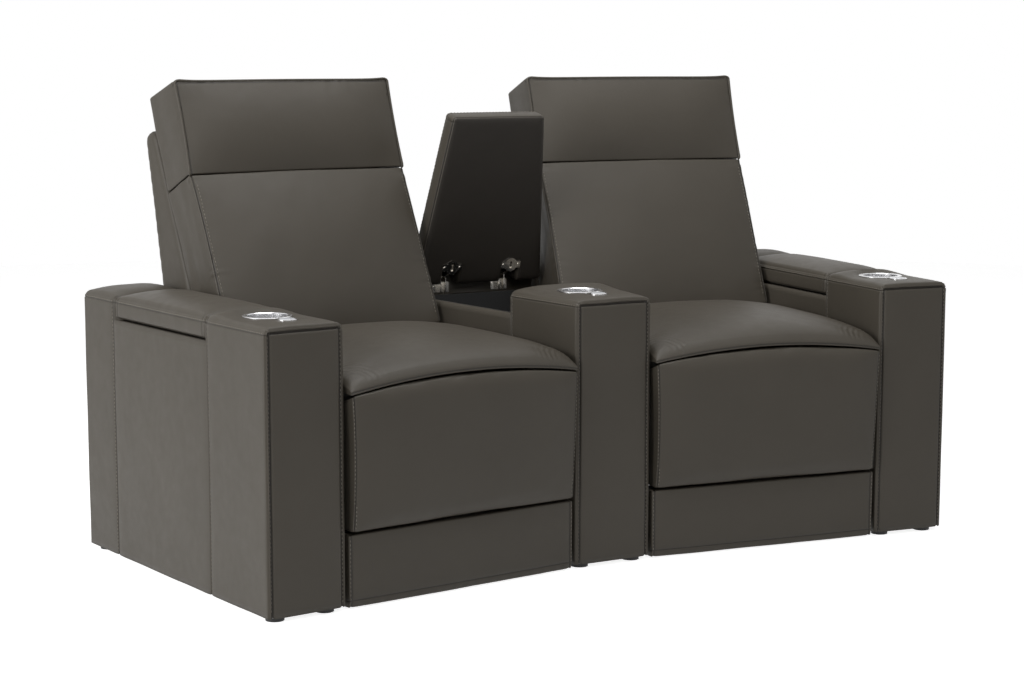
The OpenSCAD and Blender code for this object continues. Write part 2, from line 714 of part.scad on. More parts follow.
// Carriage: mechanism plates with slots and bores, slide blocks, and the timber seat frame
module seat_frame(side) {
    top = cushion_z - soft_gap;
    board_x = plate_x - joint_gap;
    block_x = plate_x + plate_t + joint_gap;
    block_low = track_z + track_t + slide_gap;
    color(timber) in_seat(side) {
        both_sides() translate([board_x - board_w, frame_y, top - board_h])
            cube([board_w, frame_end - frame_y, board_h]);
        for (y = [frame_y, frame_end - board_w]) translate([-board_x + board_w + joint_gap, y, top - board_h])
            cube([2 * (board_x - board_w - joint_gap), board_w, board_h]);
    }
    color(black_steel) in_seat(side) both_sides() {
        difference() {
            side_plate(plate_x, plate_t) polygon(rounded([
                [link_pivot.x - plate_front, top], [link_pivot.x - plate_front, link_low.y - plate_front],
                [slide_y, link_low.y - plate_foot], [slide_y, block_low], [slide_end, block_low],
                recline_axis + [plate_back, -plate_back], recline_axis + [plate_back, plate_front],
                [frame_end, top]], link_r, 4));
            for (k = [0, 2]) side_plate(plate_x - overrun, plate_t + 2 * overrun) polygon(rounded([
                [window_y[k], window_z[0]], [window_y[k + 1], window_z[0]],
                [window_y[k + 1], window_z[1]], [window_y[k], window_z[1]]], plate_front, 4));
            side_bore(plate_x - overrun, plate_t + 2 * overrun, link_pivot, tube_r + tube_gap);
            side_bore(plate_x - overrun, plate_t + 2 * overrun, recline_axis, tube_r + tube_gap);
            side_plate(plate_x - overrun, plate_t + 2 * overrun)
                polygon(slot_outline(slot_top - link_pin_r * path_down, link_low + link_pin_r * path_down,
                                     link_pin_r + open_pin_gap));
        }
        translate([block_x, slide_y, block_low])
            cube([seat_gap / 2 - track_t - slide_gap - block_x, slide_end - slide_y,
                  track_h - 2 * (track_t + slide_gap)]);
    }
}

function slot_outline(a, b, r) =
    let (d = b - a, turn = atan2(d.y, d.x))
    concat(arc_points(b, r, turn - 90, 180, 10), arc_points(a, r, turn + 90, 180, 10));

// Zigzag springs across the seat frame
module seat_springs(side) {
    start = frame_y + board_w;
    run = frame_end - frame_y - 2 * board_w;
    step = run / (2 * spring_turns);
    path = [for (i = [0 : 2 * spring_turns])
        [(i == 0 || i == 2 * spring_turns) ? 0 : (i % 2 == 0 ? -1 : 1) * spring_wave / 2, start + i * step]];
    out = spring_d / 2 * [1, 0];
    color(steel) in_seat(side) for (k = [0 : spring_count - 1])
        translate([(k - (spring_count - 1) / 2) * 2 * (plate_x - board_w) / spring_count, 0,
                   cushion_z - spring_drop])
            linear_extrude(spring_d) polygon(concat([for (p = path) p + out],
                [for (i = [len(path) - 1 : -1 : 0]) path[i] - out]));
}

module seat_cushion(side) {
    color(leather) in_seat(side)
        pad(seat_shares, 3, [-lip_out, cushion_z], [cushion_d, cushion_t], cushion_w,
            cushion_crown * seat_front_share, cushion_crown, pad_edge, back_draw);
}

// Gear motors on the leg-rest tube and on the recline tube
module gear_motors(side) {
    color(black_plastic) in_seat(side) {
        motor(link_pivot, 1, -gearbox_w);
        motor(recline_axis, -1, 0);
    }
}

module motor(at, dir, x) {
    difference() {
        union() {
            side_bore(x, gearbox_w, at, gearbox_r);
            translate([x + gearbox_w / 2, at.x, at.y]) rotate([-90 * dir, 0, 0])
                cylinder(h = gearbox_r + motor_l, r = motor_r, $fn = 48);
        }
        side_bore(x - overrun, gearbox_w + 2 * overrun, at, tube_r + tube_gap);
    }
}

// A flat link between two points, and the pins and bores of the layers
module link_bar(layer, a, b) { side_plate(layer, link_t) polygon(slot_outline(a, b, link_r)); }
module link_bore(layer, at, gap) { side_bore(layer - overrun, link_t + 2 * overrun, at, link_pin_r + gap); }
module pin_inwards(layer, at) {
    side_bore(layer - layer_gap - link_t - layer_gap / 2, link_t + 2 * layer_gap, at, link_pin_r);
    side_bore(layer - layer_gap - link_t - layer_gap / 2 - pin_head_t, pin_head_t, at, pin_head_r);
}

module main_links(side) {
    color(steel) in_seat(side) both_sides() {
        link_bar(outer_layer, link_pivot, link_elbow);
        side_bore(outer_layer, link_t + plate_t + 2 * layer_gap, link_pivot, tube_r);
        pin_inwards(outer_layer, link_mid);
        pin_inwards(outer_layer, link_elbow);
    }
    color(black_steel) in_seat(side)
        side_bore(joint_gap - outer_layer, 2 * (outer_layer - joint_gap), link_pivot, tube_r);
}

module far_links(side) {
    color(steel) in_seat(side) both_sides() {
        difference() {
            link_bar(inner_layer, link_elbow, panel_pivot);
            link_bore(inner_layer, link_elbow, link_pin_gap);
        }
        pin_inwards(inner_layer, panel_pivot);
        side_bore(inner_layer + link_t - layer_gap / 2, link_t + 2 * layer_gap, far_mid, link_pin_r);
    }
}

module cross_links(side) {
    color(steel) in_seat(side) both_sides() {
        difference() {
            link_bar(inner_layer, link_low, link_top);
            link_bore(inner_layer, link_mid, link_pin_gap);
            link_bore(inner_layer, link_top, open_pin_gap);
        }
        side_bore(inner_layer + link_t - layer_gap / 2, 2 * link_t + 2 * layer_gap + layer_gap / 2,
                  link_low, link_pin_r);
    }
}

module tie_links(side) {
    color(steel) in_seat(side) both_sides() {
        difference() {
            link_bar(outer_layer, link_top, far_mid);
            link_bore(outer_layer, far_mid, link_pin_gap);
        }
        pin_inwards(outer_layer, link_top);
    }
}

// Board behind the leg-rest pad, with the brackets that hang it on the far links
module leg_rest_board(side) {
    front = leg_board_y;
    bracket_low = panel_pivot.y - bracket_drop;
    color(timber) in_seat(side) translate([joint_gap - bracket_layer, front, pad_z + leg_board_low])
        cube([2 * (bracket_layer - joint_gap), leg_board_t, pad_h - leg_board_short]);
    color(black_steel) in_seat(side) both_sides() difference() {
        side_plate(bracket_layer, link_t) polygon(rounded([
            [front, bracket_low], [front + leg_board_t, bracket_low], panel_pivot + [link_r, -link_r],
            panel_pivot + [link_r, link_r], [front, panel_pivot.y + link_r]], link_pin_r, 3));
        link_bore(bracket_layer, panel_pivot, link_pin_gap);
    }
}

module leg_rest_pad(side) {
    color(leather) in_seat(side)
        pad(leg_shares, 2, [-lip_out - pad_lead, pad_z], [pad_t, pad_h], cushion_w, pad_crown, pad_arch,
            pad_edge, pad_draw);
}

// The back's own frame: y runs from its front to its rear, z up along its lean
module in_back(side) {
    in_seat(side) translate([0, back_foot.x, back_foot.y]) rotate([-back_lean, 0, 0]) children();
}
function from_back(p) =
    back_foot + [p.x * cos(back_lean) + p.y * sin(back_lean), p.y * cos(back_lean) - p.x * sin(back_lean)];
function to_back(p) =
    let (d = p - back_foot)
    [d.x * cos(back_lean) - d.y * sin(back_lean), d.x * sin(back_lean) + d.y * cos(back_lean)];

// Timber stiles and rails, the steel arms down to the recline tube, and the lower hinge leaf
module back_frame(side) {
    arm_foot = to_back(recline_axis);
    stile_x = outer_layer - joint_gap - stile_w;
    stile_y = pocket_front + soft_gap;
    color(timber) in_back(side) {
        both_sides() translate([stile_x, stile_y, stile_foot])
            cube([stile_w, stile_t, pocket_top - 2 * stile_foot]);
        for (z = [stile_foot, pocket_top / 2, pocket_top - stile_foot - rail_h])
            translate([joint_gap - stile_x, stile_y, z]) cube([2 * (stile_x - joint_gap), stile_t, rail_h]);
    }
    color(black_steel) in_back(side) {
        both_sides() difference() {
            side_plate(outer_layer, back_arm_t) polygon(rounded([
                [stile_y, pocket_top / 2], [stile_y, 0],
                for (c = back_arm_shares) arm_foot + back_arm_r * c,
                [stile_y + stile_t, 0], [stile_y + stile_t, pocket_top / 2]], back_arm_r / 4, 3));
            side_bore(outer_layer - overrun, back_arm_t + 2 * overrun, arm_foot, tube_r + tube_gap);
        }
        side_bore(-plate_x - plate_t - layer_gap, 2 * (plate_x + plate_t + layer_gap), arm_foot, tube_r);
        translate([-leaf_half, leaf_y, head_axis.y - knuckle_r])
            cube([2 * leaf_half, leaf_reach, leaf_t]);
        translate([-leaf_half, flange_y, back_h - flange_drop])
            cube([2 * leaf_half, leaf_t, flange_drop + head_gap / 2 - knuckle_r + leaf_t]);
        knuckles(0, -knuckle_r);
        side_bore(-leaf_half, 2 * leaf_half, head_axis, knuckle_pin_r);
    }
}

// Knuckles of the headrest hinge, each with the tab to its leaf. Back and headrest hold them in turn.
module knuckles(first, tab_z) {
    pitch = 2 * leaf_half / knuckle_count;
    for (i = [first : 2 : knuckle_count - 1]) translate([-leaf_half + i * pitch + knuckle_gap / 2, 0, 0]) {
        side_bore(0, pitch - knuckle_gap, head_axis, knuckle_r);
        translate([0, head_axis.x, head_axis.y + tab_z])
            cube([pitch - knuckle_gap, leaf_y - head_axis.x + leaf_t, leaf_t]);
    }
}

// Padded front and sides of the back, open behind for the frame
module back_cushion(side) {
    color(leather) in_back(side) difference() {
        pad(back_shares, 3, [0, 0], [back_t, back_h], back_w, back_crown, 0, back_edge, back_draw);
        translate([-pocket_half, pocket_front, -back_h]) cube([2 * pocket_half, back_t, back_h + pocket_top]);
        translate([-leaf_half - flange_gap, flange_y - flange_gap, pocket_top - overrun])
            cube([2 * (leaf_half + flange_gap), leaf_t + 2 * flange_gap, back_h]);
    }
}

// Outer shell behind the back, with its foot cut back clear of the carriage
module back_shell(side) {
    color(dark_leather) in_back(side)
        pad(shell_shares, 2, [back_t + soft_gap, -shell_drop],
            [shell_depth, back_h + shell_drop + shell_rise],
            back_w - 2 * shell_in, -shell_crown, 0, back_edge, 0);
}

// Upper hinge leaf and the posts that hold the headrest
module headrest_frame(side) {
    top = head_axis.y + knuckle_r;
    color(black_steel) in_back(side) difference() {
        union() {
            translate([-leaf_half, leaf_y, top - leaf_t]) cube([2 * leaf_half, leaf_reach, leaf_t]);
            both_sides() translate([post_x, post_y, top + joint_gap])
                cylinder(h = post_h, r = post_r, $fn = 32);
            knuckles(1, knuckle_r - leaf_t);
        }
        side_bore(-leaf_half - overrun, 2 * (leaf_half + overrun), head_axis,
                  knuckle_pin_r + knuckle_pin_gap);
    }
}

module headrest_pad(side) {
    color(leather) in_back(side) difference() {
        pad(head_shares, 3, [0, back_h + head_gap], [back_t, head_h], back_w, head_crown, head_arch,
            back_edge, back_draw);
        both_sides() translate([post_x, post_y, back_h])
            cylinder(h = post_h + head_gap + post_gap + joint_gap, r = post_r + post_gap, $fn = 32);
    }
}

glides();
hinge_plates();
arm_case(-1);  // left_arm_case
bin_liner(-1);  // left_bin_liner
arm_lid(-1);  // left_arm_lid
hinge_cups(-1);  // left_hinge_cups
cup_holder(-1);  // left_cup_holder
control_pad(-1);  // left_control_pad
rocker_key(-1, -1);  // left_recline_key
rocker_key(-1, 1);  // left_headrest_key
arm_case(0);  // centre_arm_case
bin_liner(0);  // centre_bin_liner
arm_lid(0);  // centre_arm_lid
hinge_cups(0);  // centre_hinge_cups
cup_holder(0);  // centre_cup_holder
control_pad(0);  // centre_control_pad
rocker_key(0, -1);  // centre_recline_key
rocker_key(0, 1);  // centre_headrest_key
arm_case(1);  // right_arm_case
bin_liner(1);  // right_bin_liner
arm_lid(1);  // right_arm_lid
hinge_cups(1);  // right_hinge_cups
cup_holder(1);  // right_cup_holder
control_pad(1);  // right_control_pad
rocker_key(1, -1);  // right_recline_key
rocker_key(1, 1);  // right_headrest_key
base_frame(-1);  // left_base_frame
kick_board(-1);  // left_kick_board
seat_frame(-1);  // left_seat_frame
seat_springs(-1);  // left_seat_springs
seat_cushion(-1);  // left_seat_cushion
gear_motors(-1);  // left_gear_motors
main_links(-1);  // left_main_links
far_links(-1);  // left_far_links
cross_links(-1);  // left_cross_links
tie_links(-1);  // left_tie_links
leg_rest_board(-1);  // left_leg_rest_board
leg_rest_pad(-1);  // left_leg_rest_pad
back_frame(-1);  // left_back_frame
back_cushion(-1);  // left_back_cushion
back_shell(-1);  // left_back_shell
headrest_frame(-1);  // left_headrest_frame
headrest_pad(-1);  // left_headrest_pad
base_frame(1);  // right_base_frame
kick_board(1);  // right_kick_board
seat_frame(1);  // right_seat_frame
seat_springs(1);  // right_seat_springs
seat_cushion(1);  // right_seat_cushion
gear_motors(1);  // right_gear_motors
main_links(1);  // right_main_links
far_links(1);  // right_far_links
cross_links(1);  // right_cross_links
tie_links(1);  // right_tie_links
leg_rest_board(1);  // right_leg_rest_board
leg_rest_pad(1);  // right_leg_rest_pad
back_frame(1);  // right_back_frame
back_cushion(1);  // right_back_cushion
back_shell(1);  // right_back_shell
headrest_frame(1);  // right_headrest_frame
headrest_pad(1);  // right_headrest_pad
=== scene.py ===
# A curved row of two leather cinema recliners with three storage arms, on a pale studio floor
from math import copysign, exp, radians, sin, sqrt, tan

import bmesh
import bpy
from mathutils import Matrix, Vector, noise
from mathutils.bvhtree import BVHTree


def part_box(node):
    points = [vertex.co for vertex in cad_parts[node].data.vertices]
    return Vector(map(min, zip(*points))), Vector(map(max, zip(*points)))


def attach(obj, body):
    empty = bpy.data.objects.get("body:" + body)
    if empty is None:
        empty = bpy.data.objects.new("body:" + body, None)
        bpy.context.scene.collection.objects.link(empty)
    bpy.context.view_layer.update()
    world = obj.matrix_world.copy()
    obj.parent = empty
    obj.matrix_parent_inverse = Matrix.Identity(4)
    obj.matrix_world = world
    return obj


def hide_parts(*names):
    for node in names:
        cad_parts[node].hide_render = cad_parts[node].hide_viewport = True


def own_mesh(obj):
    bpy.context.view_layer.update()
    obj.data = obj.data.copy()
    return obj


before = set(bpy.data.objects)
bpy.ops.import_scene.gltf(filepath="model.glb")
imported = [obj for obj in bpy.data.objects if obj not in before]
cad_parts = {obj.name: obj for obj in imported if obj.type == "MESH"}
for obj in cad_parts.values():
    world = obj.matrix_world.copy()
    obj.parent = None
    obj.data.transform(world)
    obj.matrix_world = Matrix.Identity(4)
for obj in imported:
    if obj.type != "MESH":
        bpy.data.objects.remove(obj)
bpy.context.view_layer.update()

scene = bpy.context.scene

# Floor: white studio paper that the row stands on. To the camera it glows a little, so that
# it meets the white background without an edge, and it still takes the row's soft shadow.
floor_radius = 7.0
paper_grey = (0.66, 0.66, 0.66, 1)
paper_glow = 0.88
white = (1, 1, 1, 1)


def put(name, data):
    """A new object in the scene."""
    made = bpy.data.objects.new(name, data)
    scene.collection.objects.link(made)
    return made


def as_object(mesh, name):
    data = bpy.data.meshes.new(name)
    mesh.to_mesh(data)
    mesh.free()
    return put(name, data)


def feed(tree, node, inputs):
    """Gives inputs of a shader node their values, or wires them to outputs of other nodes."""
    for socket, value in inputs.items():
        if isinstance(value, bpy.types.NodeSocket):
            tree.links.new(value, node.inputs[socket])
        else:
            node.inputs[socket].default_value = value


def add_node(tree, kind, output, inputs, **settings):
    """Adds a shader node and returns one of its outputs."""
    node = tree.nodes.new("ShaderNode" + kind)
    for setting, value in settings.items():
        setattr(node, setting, value)
    feed(tree, node, inputs)
    return node.outputs[output]


def is_ray(tree, first, *others):
    """1 for rays of any of these kinds, else 0."""
    rays = tree.nodes.new("ShaderNodeLightPath")
    found = rays.outputs["Is " + first + " Ray"]
    for kind in others:
        found = add_node(tree, "Math", "Value", {0: found, 1: rays.outputs["Is " + kind + " Ray"]},
                         operation="MAXIMUM")
    return found


def new_material(name):
    """A material, with its node tree and its shader."""
    material = bpy.data.materials.new(name)
    material.use_nodes = True
    return material, material.node_tree, material.node_tree.nodes["Principled BSDF"]


floor_mesh = bmesh.new()
bmesh.ops.create_circle(floor_mesh, cap_ends=True, segments=64, radius=floor_radius)
floor = as_object(floor_mesh, "studio_floor")
paper, tree, shader = new_material("floor_paper")
glow = add_node(tree, "Math", "Value", {0: is_ray(tree, "Camera", "Glossy"), 1: paper_glow},
                operation="MULTIPLY")
fibre = add_node(tree, "TexNoise", "Fac", {"Scale": 60})
bump = add_node(tree, "Bump", "Normal", {"Height": fibre, "Strength": 0.02})
feed(tree, shader, {"Base Color": paper_grey, "Roughness": 0.9, "Specular IOR Level": 0.1,
                    "Emission Color": white, "Emission Strength": glow, "Normal": bump})
floor.data.materials.append(paper)

# Lamps: three large soft boxes. The brightest hangs on the row's left, level with its front,
# so the left arm's outer side and the padded tops are the lightest faces, as in the photograph.
for name, place, size, power in (
        ("left_soft_box", (-4.6, -0.5, 1.6), (2.2, 1.8), 152),
        ("top_soft_box", (-0.2, -0.5, 3.4), (2.6, 1.8), 74),
        ("front_soft_box", (-0.9, -4.4, 3.2), (2.4, 1.6), 58)):
    lamp = bpy.data.lights.new(name, "AREA")
    lamp.shape = "RECTANGLE"
    lamp.size, lamp.size_y = size
    lamp.energy = power
    aim = Vector((0, 0, 0.5)) - Vector(place)
    turn = aim.to_track_quat("-Z", "Y").to_matrix().to_4x4()
    put(name, lamp).matrix_world = Matrix.Translation(place) @ turn

# The world is white where it is seen or reflected, and lights the row only dimly
world_light = 0.07
world = bpy.data.worlds.new("studio_white")
world.use_nodes = True
scene.world = world
tree = world.node_tree
seen = is_ray(tree, "Camera", "Glossy", "Transmission")
level = add_node(tree, "MapRange", "Result", {"Value": seen, "To Min": world_light, "To Max": 1.0})
feed(tree, tree.nodes["Background"], {"Color": white, "Strength": level})

# Camera: it stands about 4.7 m off, to the left and a little above the arms. Its place was
# solved from the corners of the arms, seats and backs in the photograph.
arm_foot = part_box("centre_arm_case")[0]
row_y, foot_z = arm_foot[1], arm_foot[2]
lens = bpy.data.cameras.new("photo_camera")
lens.sensor_width = 36.0
lens.lens = 73.893
photo_camera = put("photo_camera", lens)
photo_camera.location = (-2.5032, row_y - 4.0071, foot_z + 1.1609)
photo_camera.rotation_euler = (radians(82.097), 0, radians(-29.184))
scene.camera = photo_camera
scene.view_settings.view_transform = "Standard"

# Arm covers: semi-matte dark hide drawn over padded boxes that stand on the floor. The front
# is a panel inside a sewn border, and each side has upright seams where the lid begins and
# ends. The cover is cut open for the lid's recess, the bin, the cup holder and the control pad.
hide_light = (0.056, 0.0485, 0.038, 1)
hide_dark = (0.045, 0.039, 0.030, 1)
# Painted shade: the near-black that the seam attribute mixes into the hide along the seams' grooves
seam_groove_shade = (0.012, 0.010, 0.008, 1)
fan_angle = radians(6.84)
wedge_half, wedge_rim = 0.099, 0.03
seat_gap = 0.610
arm_w, arm_h, arm_depth = 0.188, 0.603, 0.860
arm_crown, arm_edge = 0.016, 0.016
arm_front_edge, arm_rear_edge = 0.006, 0.009
lid_start, lid_end, lid_low = 0.253, 0.693, 0.552
rear_start = lid_end + 0.005
front_seam, rear_seam = lid_start - 0.004, rear_start + 0.004
well_end, well_wall, well_floor = 0.014, 0.020, 0.342
cup_back, cup_hole_r, flange_r = 0.152, 0.0446, 0.0534
cup_floor, control_floor, above_arm = 0.53, 0.5958, 0.7
control_back, control_hole_r = 0.070, 0.0214
border = 0.0095
top_seam = 0.0125
arms = (("left", -1), ("centre", 0), ("right", 1))


def mixed(tree, share, low, high):
    """A colour between two others."""
    return add_node(tree, "Mix", "Result", {"Factor": share, "A": low, "B": high}, data_type="RGBA")


def grained_leather(name, light, dark, gloss):
    """Hide with pores, faint clouds of colour and soft hollows; a seam attribute mixes in painted
    shade along the seams' grooves.
    """
    material, tree, shader = new_material(name)
    place = add_node(tree, "TexCoord", "Object", {})
    clouds = add_node(tree, "TexNoise", "Fac", {"Vector": place, "Scale": 6, "Detail": 5})
    tint = mixed(tree, clouds, dark, light)
    # Painted shade: the seam attribute darkens the hide in the seams' grooves
    sewn = add_node(tree, "Attribute", "Fac", {}, attribute_name="seam")
    shade = mixed(tree, sewn, tint, seam_groove_shade)
    sheen = add_node(tree, "TexNoise", "Fac", {"Vector": place, "Scale": 42, "Detail": 3})
    rough = add_node(tree, "MapRange", "Result",
                     {"Value": sheen, "To Min": gloss, "To Max": gloss + 0.14})
    soft = add_node(tree, "TexNoise", "Fac", {"Vector": place, "Scale": 11, "Detail": 2})
    hollow = add_node(tree, "Bump", "Normal", {"Height": soft, "Distance": 0.006, "Strength": 0.32})
    pores = add_node(tree, "TexVoronoi", "Distance", {"Vector": place, "Scale": 560})
    grain = add_node(tree, "Bump", "Normal",
                     {"Height": pores, "Distance": 0.0004, "Strength": 0.35, "Normal": hollow})
    feed(tree, shader, {"Base Color": shade, "Roughness": rough, "Normal": grain,
                        "Specular IOR Level": 0.26})
    return material


leather = grained_leather("leather", hide_light, hide_dark, 0.42)


def seat_place(side):
    """A seat's own frame: x across from its middle, y back from the arms' fronts, z up."""
    right = (Matrix.Translation((0, row_y, foot_z)) @ Matrix.Translation((wedge_half, 0, 0))
             @ Matrix.Rotation(-fan_angle, 4, "Z") @ Matrix.Translation((seat_gap / 2, 0, 0)))
    return right if side > 0 else Matrix.Scale(-1, 4, (1, 0, 0)) @ right


def arm_place(arm):
    if arm == 0:
        return Matrix.Translation((0, row_y, foot_z))
    return seat_place(arm) @ Matrix.Translation(((seat_gap + arm_w) / 2, 0, 0))


def arm_half(arm, y):
    """Half the arm's width: the centre arm is a wedge that widens towards its rear."""
    return wedge_half + y * tan(fan_angle) if arm == 0 else arm_w / 2


def fan_out(vert, x, y, half, low, high):
    """Moves a point of the centre arm as far out as the wedge is wider there than in front."""
    wider = arm_half(0, max(low, min(high, y))) - arm_half(0, 0)
    vert.co.x += copysign(1, x) * wider * min(1.0, abs(x) / (half - wedge_rim))


def cut_across(mesh, axis, places):
    for place in sorted(set(places)):
        at, way = Vector((0, 0, 0)), Vector((0, 0, 0))
        at[axis] = place
        way[axis] = 1
        bmesh.ops.bisect_plane(mesh, geom=mesh.verts[:] + mesh.edges[:] + mesh.faces[:],
                               plane_co=at, plane_no=way, dist=1e-6)


def even(low, high, pitch):
    """Places between two ends, as near as can be to a pitch apart."""
    count = max(1, round((high - low) / pitch))
    return [low + (high - low) * i / count for i in range(1, count)]


def beside(seam, width=0.0012, reach=0.006):
    """Cuts along a seam, close enough together for its groove."""
    return [seam + gap for gap in (-reach, -2 * width, -width, 0, width, 2 * width, reach)]


def both(places):
    """Places on the right and their mirror images on the left."""
    return [s * place for place in places for s in (-1, 1)]


def part(run, reach):
    """How much of its reach a run has covered, from 0 to 1."""
    return min(1, max(0, run / reach))


def near(gap, width):
    """1 on a seam, falling to 0 away from it."""
    return exp(-(gap / width) ** 2)


def gather(run, gap, reach, seed):
    """Small folds of hide that run out from a seam."""
    wander = noise.noise(Vector((run * 22, gap * 12, seed)))
    share = max(0.0, noise.noise(Vector((run * 11, 3, seed))) + 0.25)
    return exp(-gap / reach) * sin(run * 230 + 7 * wander) * 1.6 * share


def evaluated(thing):
    """A new mesh from an object, with its modifiers applied."""
    final = thing.evaluated_get(bpy.context.evaluated_depsgraph_get())
    return bpy.data.meshes.new_from_object(final)


def taken_from(thing):
    """An object's mesh with its modifiers applied. The object itself is removed."""
    data = evaluated(thing)
    mesh = bmesh.new()
    mesh.from_mesh(data)
    bpy.data.objects.remove(thing)
    bpy.data.meshes.remove(data)
    return mesh


def trimmed(mesh, tools):
    """The mesh with each tool cut out of it."""
    solid = as_object(mesh, "trimmed")
    knives = [as_object(tool, "tool") for tool in tools]
    for knife in knives:
        trim = solid.modifiers.new("trim", "BOOLEAN")
        trim.object = knife
        trim.operation = "DIFFERENCE"
        trim.solver = "EXACT"
    opened = taken_from(solid)
    for knife in knives:
        bpy.data.objects.remove(knife)
    return opened


def block(low, high):
    """A block between two corners."""
    mesh = bmesh.new()
    bmesh.ops.create_cube(mesh, size=1)
    bmesh.ops.scale(mesh, vec=Vector(high) - Vector(low), verts=mesh.verts)
    bmesh.ops.translate(mesh, vec=(Vector(high) + Vector(low)) / 2, verts=mesh.verts)
    return mesh


def rod(centre, radius, low, high):
    """An upright rod, to bore with."""
    mesh = bmesh.new()
    bmesh.ops.create_cone(mesh, cap_ends=True, segments=72, radius1=radius, radius2=radius,
                          depth=high - low)
    bmesh.ops.translate(mesh, vec=(centre[0], centre[1], (low + high) / 2), verts=mesh.verts)
    return mesh


def finish_piece(mesh, name, place, material, body, node=None):
    """Puts a mesh made in an arm's or a seat's frame into the row, as a smooth piece of its own."""
    bmesh.ops.transform(mesh, matrix=place, verts=mesh.verts)
    if place.determinant() < 0:
        bmesh.ops.reverse_faces(mesh, faces=mesh.faces)
    for face in mesh.faces:
        face.smooth = True
    piece = as_object(mesh, name)
    piece.data.materials.append(material)
    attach(piece, body)
    if node:
        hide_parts(node)
    return piece


def towards(low, high, soft_low, soft_high):
    """Places for cuts close to both ends of a run, for its rounded edges."""
    steps = (0.12, 0.3, 0.5, 0.75, 1)
    return ([low + soft_low * s for s in steps if soft_low]
            + [high - soft_high * s for s in steps if soft_high])


def round_corners(mesh, low, high, soft_low, soft_high):
    """Rounds a block's edges. Each side has its own reach, so an edge between two is an ellipse."""
    for vert in mesh.verts:
        step, start, reach = Vector((0, 0, 0)), vert.co.copy(), [1, 1, 1]
        for axis in range(3):
            if vert.co[axis] < low[axis] + soft_low[axis]:
                reach[axis], start[axis] = soft_low[axis], low[axis] + soft_low[axis]
            elif vert.co[axis] > high[axis] - soft_high[axis]:
                reach[axis], start[axis] = soft_high[axis], high[axis] - soft_high[axis]
            step[axis] = (vert.co[axis] - start[axis]) / reach[axis]
        if step.length > 0:
            scale = max(abs(c) for c in step) / step.length
            vert.co = [start[a] + step[a] * scale * reach[a] for a in range(3)]


def padded_block(low, high, soft_low, soft_high, extra=((), (), ()), pitch=0.013):
    """A net over a block with rounded edges, with each point's place on the flat block."""
    mesh = block(low, high)
    for axis in range(3):
        cut_across(mesh, axis, even(low[axis], high[axis], pitch)
                   + towards(low[axis], high[axis], soft_low[axis], soft_high[axis])
                   + list(extra[axis]))
    flat = [v.co.copy() for v in mesh.verts]
    round_corners(mesh, low, high, soft_low, soft_high)
    mesh.normal_update()
    return mesh, flat


def arm_box(arm):
    """The padded box in an even net, with close cuts along its seams."""
    half = arm_half(arm, 0)
    rims = both(half - border - g for g in (-0.006, -0.004, -0.002, 0, 0.002, 0.004, 0.007))
    along = (beside(front_seam) + beside(rear_seam)
             + [lid_start, rear_start, lid_start - 0.012, rear_start + 0.012])
    rising = (beside(arm_h - top_seam) + [lid_low]
              + [arm_h - border - g for g in (-0.004, 0, 0.002, 0.004, 0.008)])
    return padded_block((-half, 0, 0), (half, arm_depth, arm_h), (arm_edge, arm_front_edge, 0),
                        (arm_edge, arm_rear_edge, arm_edge), (rims, along, rising))


def crown_rise(x, y, half, arm):
    """The top's crown, which sinks at its ends and round the steel flange and the control pad."""
    ends = min(y, abs(y - lid_start), abs(y - rear_start), arm_depth - y)
    held_down = 0.75 * exp(-ends / 0.014) if y < lid_end else exp(-ends / 0.024)
    rise = arm_crown * (1 - (abs(x) / half) ** 3.4) * (1 - held_down)
    # It is lower in front of the cup, so the cup and the keys stay in sight
    rise *= 0.35 + 0.65 * part(y - cup_back, 0.07)
    for back, reach, level in ((cup_back, flange_r + 0.016, 0.0044), (control_back, 0.036, 0.0050)):
        ease = part(reach - sqrt(x * x + (y - back) ** 2), 0.014)
        ease = ease * ease * (3 - 2 * ease)
        rise = rise * (1 - ease) + min(rise, level) * ease
    if abs(y - cup_back) > 0.07:
        rise += 0.0012 * noise.noise(Vector((x * 14, y * 9, arm * 7)))
    return rise


def front_push(x, z, gap, half, arm):
    """The front: a raised rim, a sewn valley inside it, and the softly swollen panel."""
    swell = (1 - (x / half) ** 2) * (1 - (2 * z / arm_h - 1) ** 4)
    push = 0.0012 * near(gap + 0.006, 0.0025) - 0.0038 * near(gap, 0.0032)
    if gap > 0:
        push += 0.0012 * (1 - exp(-gap / 0.006)) + 0.0022 * swell
        push += 0.0004 * gather(z + x, gap, 0.014, arm)
    return push


def side_draw(x, y, z, arm):
    """How far a side is drawn in, and how much painted shade darkens it, by its upright seams and
    its top seam.
    """
    draw, dark = 0.0, 0.0
    for at, gathers, tone in ((front_seam, 0.0010, 0.45), (rear_seam, 0.0012, 0.9)):
        gap = y - at + 0.0016 * noise.noise(Vector((z * 7, arm, at * 9)))
        high = exp(-(arm_h - z) / 0.11)
        draw += 0.0022 * near(gap, 0.0017) + 0.0012 * near(gap, 0.010)
        draw += gathers * (0.25 + high) * gather(z, abs(gap), 0.012, arm + at)
        dark = max(dark, tone * near(gap, 0.0016))
    if y < lid_start or y > lid_end:
        groove = near(arm_h - z - top_seam, 0.0015)
        draw += 0.0014 * groove
        dark = max(dark, 0.5 * groove)
    mid, run = 0.5 * (lid_start + lid_end), 0.5 * (lid_end - lid_start)
    if abs(y - mid) < run:
        draw -= 0.0024 * (1 - ((y - mid) / run) ** 2) * (1 - (2 * z / arm_h - 1) ** 2)
    return draw + 0.0010 * noise.noise(Vector((x * 3, y * 8, z * 6 + arm * 5))), dark


